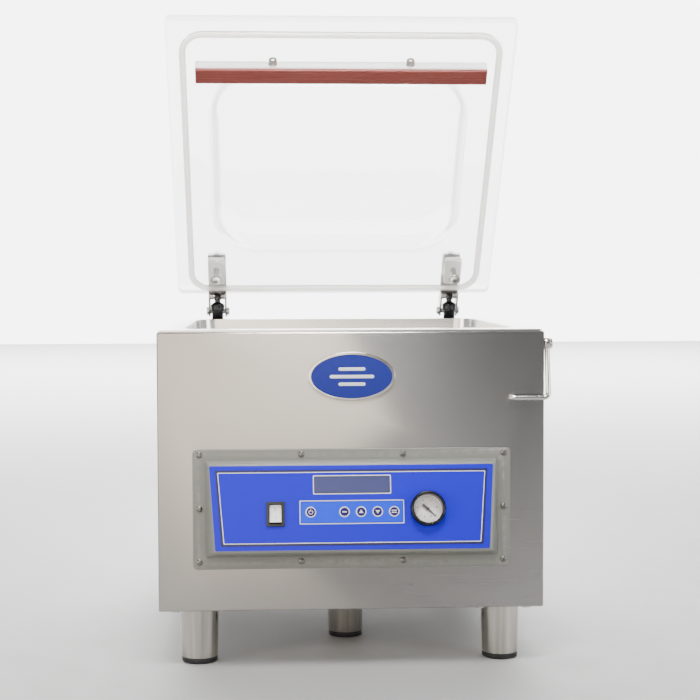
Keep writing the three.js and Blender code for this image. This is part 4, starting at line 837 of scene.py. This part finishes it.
def make_bezel():
    flange = soften(prism(rounded(-201.2, 201.2, 53.6, 205.8, 6), "y", -GAP - 2.5, -GAP), 1.1, 4)
    body = join(flange, soften(wedge(0, -GAP - 1), 3.4, 5, 20))
    hollow = wedge(-3, 1)
    holes = [on_face(pad(DISPLAY, -6, 1, -15, 15)), on_face(pad(ROCKER, -4, 1, -15, 15)),
             on_face(post(GAUGE_U, GAUGE_V, -15, 15, GAUGE_HOLE_R))]
    holes += [on_face(post(u, BUTTON_V, -15, 15, BUTTON_R - 1.5)) for u in BUTTONS.values()]
    holes += [bar((x, -10, z), (x, 5, z), 2.2, sides=20) for x, z in BEZEL_SCREWS]
    piece("bezel_moulding", cut(body, hollow, *holes), "bezel", replaces="control_bezel", sharp=50)
    heads = [button_screw((x, -GAP - 2.5, z), (0, -1, 0), 4.0, "hex") for x, z in BEZEL_SCREWS]
    piece("bezel_screws", merged(*heads), "screw")


def overlay_outline(side, ends, r):
    """The overlay's tapering outline, moved inwards, with rounded corners."""
    low, top, y = FACE_BOTTOM_HALF - 2.4 - side, FACE_TOP_HALF - 2.4 - side, FACE_HEIGHT / 2
    shift = -1.2
    corners = [Vector((x + shift, v)) for x, v in ((-low, -y + 3.4 + ends), (low, -y + 3.4 + ends),
                                                   (top, y - 2.6 - ends), (-top, y - 2.6 - ends))]
    points = []
    for i, corner in enumerate(corners):
        back = (corners[i - 1] - corner).normalized() * r
        ahead = (corners[(i + 1) % 4] - corner).normalized() * r
        for k in range(7):
            t = k / 6
            points.append(tuple(corner + back * (1 - t) ** 2 + ahead * t ** 2))
    return points


def make_overlay():
    z, top = GAP, GAP + 0.5
    sheet = cut(prism(overlay_outline(0, 0, 2), "z", z, top), pad(DISPLAY, 0.6, 1.5, -1, 3),
                pad(KEYPAD, 0.6, 1.8, -1, 3), pad(ROCKER, -3, 1, -1, 3),
                post(GAUGE_U, GAUGE_V, -5, 5, GAUGE_HOLE_R, 64))
    piece("overlay_sheet", sheet, "overlay", where=FACE, replaces="panel_overlay")

    def border(side, ends):
        return lambda by: overlay_outline(side + by, ends + by, 1.2)

    # the navy lines beside the white borders of the overlay and the keypad are painted shadow
    navy = merged(frame_line(border(7.4, 5.3), 2.9, top - 0.05, top + 0.12),
                  frame_line(edge_of(KEYPAD, -3.0), 0.5, GAP + 0.85, GAP + 0.95))
    piece("overlay_painted_shadow_lines", navy, "painted_shadow_line", where=FACE)
    white = merged(frame_line(border(10.2, 8.1), 1.0, top - 0.05, top + 0.14),
                   frame_line(edge_of(DISPLAY, 1.4), 1.2, top - 0.05, top + 0.2),
                   frame_line(edge_of(KEYPAD, -0.4), 1.0, GAP + 0.85, GAP + 1.0))
    piece("overlay_white_lines", white, "print_white", where=FACE)
    # a dark ring round the display window, painted shadow of its recess
    rim = frame_line(edge_of(DISPLAY, -1.2), 1.0, 0.05, top + 0.02)
    piece("display_painted_shadow_edge", rim, "ink_and_shade", where=FACE)
    lcd = pad(DISPLAY, -2, 1, 0.05, 0.5)
    piece("display_window", lcd, "window", where=FACE)
    keys = [post(u, BUTTON_V, -2, 3, BUTTON_R + 0.3) for u in BUTTONS.values()]
    strip = cut(pad(KEYPAD, 0, 1.5, GAP, GAP + 0.9), *keys)
    piece("keypad_sheet", strip, "keypad", where=FACE, replaces="keypad_strip")


def key_symbol(name, z0, z1):
    if name == "power":
        r, w = 2.9, 0.75
        outline = arc(0, 0, r, 125, 415, 30) + arc(0, 0, r - w, 415, 125, 30)
        return merged(prism(outline, "z", z0, z1), block((-w / 2, w / 2), (0.2, 3.9), (z0, z1)))
    if name == "set":
        return prism(centred(5.6, 1.5, 0, 0, 0.5, 3), "z", z0, z1)
    if name in ("up", "down"):
        s = 1 if name == "up" else -1
        return prism([(-2.9, -1.7 * s), (2.9, -1.7 * s), (0, 2.6 * s)], "z", z0, z1)
    return merged(*[prism(centred(6.6, 1.2, 0, v, 0.4, 3), "z", z0, z1) for v in (-1.3, 1.3)])


def make_buttons():
    for name, u in BUTTONS.items():
        where = FACE @ Matrix.Translation((u, BUTTON_V, 0))
        top, r = GAP + 1.6, BUTTON_R
        ring = lathe([(4.4, -4.5), (4.4, 0.95), (r, 0.95), (r, top - 0.35), (r - 0.12, top - 0.12),
                      (r - 0.4, top), (r - 1.25, top), (r - 1.35, top - 0.12)])
        piece(f"key_{name}_ring", ring, "print_white", f"button_{name}", where, replaces=f"button_{name}")
        disc = lathe([(r - 1.3, top - 0.3), (r - 1.3, top - 0.04), (r - 1.5, top + 0.02),
                      (2.5, top + 0.09), (0, top + 0.1)])
        piece(f"key_{name}_disc", disc, "navy", f"button_{name}", where)
        piece(f"key_{name}_symbol", key_symbol(name, top - 0.1, top + 0.16), "print_white", f"button_{name}",
              where)


def make_rocker():
    u, v, w, h = (ROCKER[key] for key in ("u", "v", "w", "h"))
    rim = soften(pad(ROCKER, 0, 1.4, GAP + 0.8, GAP + 2.9), 0.6, 3)
    body = pad(ROCKER, -4.4, 0.8, -20, 2)
    well = soften(prism(centred(w - 7.6, h - 5.8, u, v, 0.6), "z", -11, 8), 0.4, 2)
    case = cut(join(rim, body), well)
    tabs = [soften(block(span(u + dx, 2.4), span(v + dy, 0.4), (-28, -19)), 0.3, 1)
            for dx, dy in ((-4, -8), (4, -8), (-4, 0), (4, 0))]
    piece("switch_frame", case, "black", where=FACE, replaces="rocker_frame", sharp=40)
    piece("switch_tabs", merged(*tabs), "brass", where=FACE)
    where = FACE @ Matrix.Translation((u, v, ROCKER["pivot"])) @ Matrix.Rotation(ROCKER["tilt"], 4, "X")
    long, half = 11.2, (w - 8.2) / 2
    top = [(long * (1 - k / 12), 3.4 + 1.7 * (1 - k / 12) ** 2) for k in range(25)]
    side = top + [(-long + 1, -0.5)] + arc(0, 0.5, 6.2, 200, 340, 20) + [(long - 1, -0.5)]
    paddle = soften(prism(side, "x", -half, half), 0.6, 3, 40)
    piece("switch_paddle", paddle, "dial", "rocker_button", where, replaces="rocker_button", sharp=30)
    slope = 2 * 1.7 * 0.5 / long

    def mark(shape, y):
        shape.transform(Matrix.Translation((0, y, 3.4 + 1.7 * (y / long) ** 2 - 0.06))
                        @ Matrix.Rotation(math.atan(slope * y / (long / 2)), 4, "X"))
        return shape

    circle_mark = mark(cut(prism(circle(0, 0, 1.7, 32), "z", 0, 0.14),
                           prism(circle(0, 0, 1.25, 32), "z", -1, 1)), 5.4)
    line_mark = mark(block((-0.25, 0.25), (-1.6, 1.6), (0, 0.14)), -5.4)
    piece("switch_marks", merged(circle_mark, line_mark), "ink_and_shade", "rocker_button", where)


def number(text, size, at, z):
    """A flat numeral centred on a point."""
    curve = bpy.data.curves.new("numeral", "FONT")
    curve.body, curve.size, curve.extrude = text, size, 0.03
    curve.align_x, curve.align_y = "CENTER", "CENTER"
    obj = placed("numeral", curve)
    bm = evaluated(obj)
    bpy.data.objects.remove(obj)
    bpy.data.curves.remove(curve)
    bm.transform(Matrix.Translation((*at, z)))
    return bm


def dial_stroke(inner, outer, half, turn):
    """A printed line that points at the needle's pivot, turned by an angle in degrees."""
    stroke = block((inner, outer), (-half, half), DIAL_PRINT)
    stroke.transform(Matrix.Rotation(math.radians(turn), 4, "Z"))
    return stroke


def dial_arc(outer, inner):
    low, high = NEEDLE_REST, NEEDLE_REST + NEEDLE_SWEEP
    return prism(arc(0, 0, outer, low, high, 60) + arc(0, 0, inner, high, low, 60), "z", *DIAL_PRINT)


def make_gauge():
    where = FACE @ Matrix.Translation((GAUGE_U, GAUGE_V, 0))
    rim = GAP + 0.8
    shell = lathe([(6.6, -26), (7, -25.6), (7, -16), (17, -16), (18.3, -14.8), (18.5, -13),
                   (18.5, rim), (21.6, rim), (22, rim + 0.4), (22, 7.6), (21.8, 8.8), (21.2, 9.9),
                   (20.4, 10.7), (19.6, 11), (19.0, 10.8), (18.7, 10.3)], sides=96)
    case = cut(shell, lathe([(18.2, -3), (18.25, 20)], sides=96))
    piece("gauge_shell", case, "gloss_black", where=where, replaces="gauge_case", sharp=45)
    piece("gauge_dial", lathe([(18, DIAL_Z - 0.35), (18, DIAL_Z)], sides=96), "dial", where=where)
    ticks = []
    for k in range(51):
        inner, half = (13.9, 0.17) if k % 5 == 0 else (14.7, 0.09)
        ticks.append(dial_stroke(inner, 15.6, half, NEEDLE_REST + NEEDLE_SWEEP * k / 50))
    ticks.append(dial_arc(15.9, 15.65))
    for k in range(0, 11, 2):
        a = math.radians(NEEDLE_REST + NEEDLE_SWEEP - NEEDLE_SWEEP * k / 10)
        ticks.append(number(str(10 * k), 2.5, (11.9 * math.cos(a), 11.9 * math.sin(a)), DIAL_Z + 0.02))
    piece("gauge_marks", merged(*ticks), "ink_and_shade", where=where)
    reds = [dial_stroke(12.5, 13.0, 0.08, NEEDLE_REST + NEEDLE_SWEEP * k / 30) for k in range(31)]
    piece("gauge_red_scale", merged(dial_arc(13.2, 12.95), *reds), "print_red", where=where)
    rivet = [(0.95, DIAL_Z - 0.1), (0.85, DIAL_Z + 0.25), (0, DIAL_Z + 0.35)]
    rivets = [lathe(rivet, (x, -9.2, 0), sides=24) for x in (-4.1, 4.1)]
    piece("gauge_rivets", merged(*rivets), "print_gold", where=where)
    lens = lathe([(17.9, 8), (17.9, 9.4), (17.4, 9.8), (9, 10.1), (0, 10.2)], sides=96)
    piece("gauge_window", lens, "glass", where=where, replaces="gauge_lens")
    rest = where @ Matrix.Translation((0, 0, -1.4)) @ Matrix.Rotation(math.radians(NEEDLE_REST), 4, "Z")
    blade = soften(prism([(-8.2, -1.9), (-8.2, 1.9), (-1, 1.5), (0, 1.3), (14.2, 0.4), (14.2, -0.4),
                          (0, -1.3), (-1, -1.5)], "z", 0, 0.7), 0.12, 2)
    hub = lathe([(1.1, -1), (1.1, -0.1), (2.2, -0.1), (2.2, 0.9), (1.9, 1.25), (1.2, 1.35),
                 (0, 1.4)])
    piece("gauge_pointer", join(blade, hub), "black", "gauge_needle", rest, replaces="gauge_needle")


# ------------------------------------------------------------------ lid and its hinges
LID_BACK, LID_FRONT, LID_UNDER, LID_TOP = -41, -516, -8, 12
VAULT = (-175, 175, -411, -125)
STUD_Y, STUD_R = -95, 4.5
ARM_TOP = LID_TOP + GAP + 2.5
BAR_Y, BAR_HALF, BAR_WIDTH, BAR_LOW = -441.5, 204.6, 27, -29.3
NUT_X = 96.3
BLOCK_LOW, BLOCK_FRONT, BLOCK_BACK, BLOCK_HALF = -18.3, -113, -67.5, 12.8


def stud_hole(x):
    return post(x, STUD_Y, -40, 30, STUD_R + 0.4)


def gasket_ring(side):
    return rounded(-222.2 - side, 222.2 + side, -495.4 - side, -51.5 + side, 29 + side, 12)


def make_lid():
    plate = (-244.8, 244.8, LID_FRONT, LID_BACK)
    edge = 2.5
    stations = [(1.6, LID_UNDER, 6), (0.5, LID_UNDER + 0.4, 6.8), (0, LID_UNDER + 1.5, 7),
                (0, LID_TOP - edge, 7)]
    stations += [(edge - edge * math.cos(a), LID_TOP - edge + edge * math.sin(a), 7) for a in (0.4, 0.8, 1.2)]
    slab = loft([level(plate, *station) for station in stations + [(edge, LID_TOP, 6)]], 10)
    inner = [(-8, LID_UNDER - 1, 66), (-6, LID_UNDER, 66), (-1.5, LID_UNDER + 4, 64), (3, 6, 62),
             (8, 20.8, 58), (16, 31.8, 52), (34, 38.1, 40), (62, 40, 24)]
    hollow = loft([level(VAULT, *station) for station in curved(inner, 6)], 18)
    outer = [(-14, LID_TOP - 2, 72), (-12, 15, 70), (-11, 26, 68), (-7, 36, 64), (2, 46, 58), (20, 50.8, 44),
             (48, 52, 30)]
    vault = loft([level(VAULT, *station) for station in curved(outer, 6)], 18)
    groove = cut(prism(gasket_ring(4.8), "z", LID_UNDER - 1, LID_UNDER + 3),
                 prism(gasket_ring(-4.8), "z", LID_UNDER - 2, LID_UNDER + 4))
    holes = [stud_hole(s * HINGE_X) for s in (-1, 1)]
    piece("lid_moulding", cut(join(slab, vault), hollow, groove, *holes), "acrylic", "lid", LID,
          replaces="lid", sharp=30)
    low = LID_UNDER - 3
    section = [(4.5, LID_UNDER + 2.6), (4.5, LID_UNDER + 0.2), (4.3, LID_UNDER - 0.6)]
    section += [(1.6 * x, low + 2.2 + z) for x, z in arc(0, 0, 2.2, -10, -170, 12)]
    section += [(-4.3, LID_UNDER - 0.6), (-4.5, LID_UNDER + 0.2), (-4.5, LID_UNDER + 2.6)]
    piece("lid_gasket_cord", ring_profile(gasket_ring, section), "gasket", "lid", LID, replaces="lid_gasket",
          sharp=45)


def make_counter_bar():
    top, low = LID_UNDER - GAP, BAR_LOW + 5 + GAP
    flank = BAR_Y - BAR_WIDTH / 2
    holes = [bar((s * NUT_X, flank - 2, top - 9.2), (s * NUT_X, BAR_Y, top - 9.2), 3.4) for s in (-1, 1)]
    holder = soften(block((-BAR_HALF, BAR_HALF), (flank, BAR_Y + BAR_WIDTH / 2), (low, top)), 1, 3)
    piece("counter_bar_body", cut(holder, *holes), "white", "lid", LID, replaces="counter_bar_holder")
    outline = [(BAR_Y - 11, BAR_LOW + 5), *arc(BAR_Y - 9.6, BAR_LOW + 1.4, 1.4, 180, 270, 6),
               *arc(BAR_Y + 9.6, BAR_LOW + 1.4, 1.4, 270, 360, 6), (BAR_Y + 11, BAR_LOW + 5)]
    strip = prism(outline, "x", -BAR_HALF + 0.5, BAR_HALF - 0.5)
    ribs = [block(span(0, BAR_HALF), span(BAR_Y + y, 0.35), (BAR_LOW - 1, BAR_LOW + 0.35))
            for y in (-6, -2, 2, 6)]
    piece("counter_bar_rubber", cut(strip, *ribs), "silicone", "lid", LID, replaces="counter_bar_strip",
          sharp=30)
    for side, s in SIDES:
        at = (s * NUT_X, flank - GAP, LID_UNDER - 9.5)
        knob = [(3, -10), (3, 0), (6.3, 0), (6.4, 0.2), (6.4, 0.9), (6.2, 1.15), (5.5, 1.3),
                (5.5, 1.7), (5.8, 2), (5.8, 7.2), (5.6, 7.9), (5.1, 8.7), (4.2, 9.3), (2.8, 9.75),
                (1.4, 9.95), (0, 10)]
        grips = [post(x, y, 2.2, 7, 0.45, 10) for x, y in circle(0, 0, 6, 22)]
        nut = cut(lathe(knob), merged(*grips))
        nut.transform(Matrix.Translation(at) @ Matrix.Rotation(math.pi / 2, 4, "X"))
        piece(f"counter_thumb_nut_{side}", nut, "fastener", "lid", LID, replaces=f"counter_bar_nut_{side}",
              sharp=40)


def make_hinge(side, s):
    x = s * HINGE_X
    body = soften(prism(rounded(x - BLOCK_HALF, x + BLOCK_HALF, BLOCK_FRONT, BLOCK_BACK, 3), "z", BLOCK_LOW,
                        LID_UNDER - GAP), 1, 3)
    piece(f"hinge_pad_{side}", cut(body, stud_hole(x)), "white", "lid", LID, replaces=f"hinge_block_{side}")
    low, high = BLOCK_LOW, ARM_TOP + GAP
    stud = lathe([(6.4, low - 27.2), (7.6, low - 27), (8.4, low - 26.5), (8.8, low - 25.8),
                  (9, low - 25), (9, low - 23), (8.8, low - 22.4), (8.3, low - 22), (STUD_R, low - 22),
                  (STUD_R, high), (8, high), (8, high + 0.8)], (x, STUD_Y, 0))
    nut = soften(prism(circle(x, STUD_Y, 8.2, 6), "z", high + 0.7, high + 6), 0.5, 2)
    cap = lathe([(6.4, high + 5.9), (6.1, high + 7.2), (5.2, high + 8.6), (3.6, high + 9.6),
                 (1.8, high + 10), (0, high + 10.1)], (x, STUD_Y, 0))
    socket = prism(circle(x, STUD_Y, 3.6, 6), "z", low - 30, low - 24.4)
    piece(f"hinge_stud_screw_{side}", merged(cut(stud, socket), nut, cap), "fastener", "lid", LID,
          replaces=f"hinge_stud_{side}")
    flat = soften(prism(rounded(x - 14, x + 14, -104, LID_BACK + 3, 2), "z", LID_TOP + GAP, ARM_TOP), 0.5, 2)
    web = block(span(x, 14), (LID_BACK, -14), (LID_TOP + GAP, ARM_TOP))
    outline = [(LID_BACK + 2.5, ARM_TOP), (LID_BACK + 2.5, -6), (-34, -9.5), (-2, -9.2)]
    outline += arc(0, 0, 9.2, -90, 90, 20) + [(-14, ARM_TOP)]
    cheeks = [soften(prism(outline, "x", x + a, x + a + 2.5), 0.4, 2, 60) for a in (-14, 11.5)]
    pin = axle(x, *SPRING_TOP, 14.2, 3)
    arm = cut(join(flat, web, *cheeks, pin), axle(x, 0, 0, 30, 4.4), stud_hole(x))
    piece(f"hinge_arm_sheet_{side}", arm, "bracket", "lid", LID, replaces=f"hinge_arm_{side}")
    heads = [soften(prism(circle(0, 0, 6.6, 6), "z", 14.6, 18), 0.5, 2),
             lathe([(7, 14.3), (7, 14.8)])]
    far = lathe([(0, -18.4), (4.6, -18.3), (5.8, -17.8), (6.6, -16.8), (6.8, -15.6), (6.8, -14.3), (4, -14.3),
                 (4, 14.5)])
    bolt = merged(far, *heads)
    bolt.transform(Matrix.Translation((x, 0, 0)) @ Matrix.Rotation(math.pi / 2 * s, 4, "Y"))
    piece(f"hinge_pivot_bolt_{side}", bolt, "bright", "lid", LID, replaces=f"hinge_pivot_{side}")


def make_spring(side, s):
    where, length, reach = spring_frame(s), 132, SPRING_SPAN
    tube = lathe([(6.4, -length), (7.6, -length + 0.4), (8.6, -length + 1.6),
                  (9, -length + 3.4), (9, -24.5), (9.4, -23.8), (10.8, -23.4), (11, -22.8), (11, -13.6),
                  (10.6, -12.9), (6, -9.6), (4.5, -9)], sides=64)
    eye = join(soften(axle(0, 0, 0, 5, 6.2), 0.5, 2, 60), post(0, 0, -11, -3, 4.5))
    body = cut(join(tube, eye), post(0, 0, -length - 1, -50, 4.5), axle(0, 0, 0, 6, 3.4))
    piece(f"gas_spring_tube_{side}", body, "spring", f"gas_spring_{side}", where,
          replaces=f"gas_spring_{side}")
    rod = post(0, 0, -reach + 6, -reach + 118, 4)
    collar = lathe([(6.2, -reach + 8), (6.6, -reach + 8.8), (6.6, -reach + 15),
                    (6, -reach + 16.2), (4, -reach + 16.8)])
    ring = soften(axle(0, 0, -reach, 5, 10.2), 0.5, 2, 60)
    shape = cut(join(rod, collar, ring), axle(0, 0, -reach, 6, 7.2))
    piece(f"gas_rod_bar_{side}", shape, "bright", f"gas_rod_{side}", where, replaces=f"gas_rod_{side}")


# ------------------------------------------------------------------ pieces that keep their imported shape
INSIDE = {"lift_unit": "cast", "vacuum_pump": "paint", "pump_motor": "cast", "motor_fan": "black",
          "valve_block": "brass", "vacuum_hose": "rubber", "transformer": "copper", "control_board": "board"}


def dress_inside():
    for node, look in INSIDE.items():
        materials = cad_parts[node].data.materials
        materials.clear()
        materials.append(LOOK[look])


make_shell()
make_tank()
make_seal_bar()
make_back()
make_legs()
make_hook()
make_badge()
make_brackets()
make_bezel()
make_overlay()
make_buttons()
make_rocker()
make_gauge()
make_lid()
make_counter_bar()
for side_name, side_sign in SIDES:
    make_hinge(side_name, side_sign)
    make_spring(side_name, side_sign)
dress_inside()
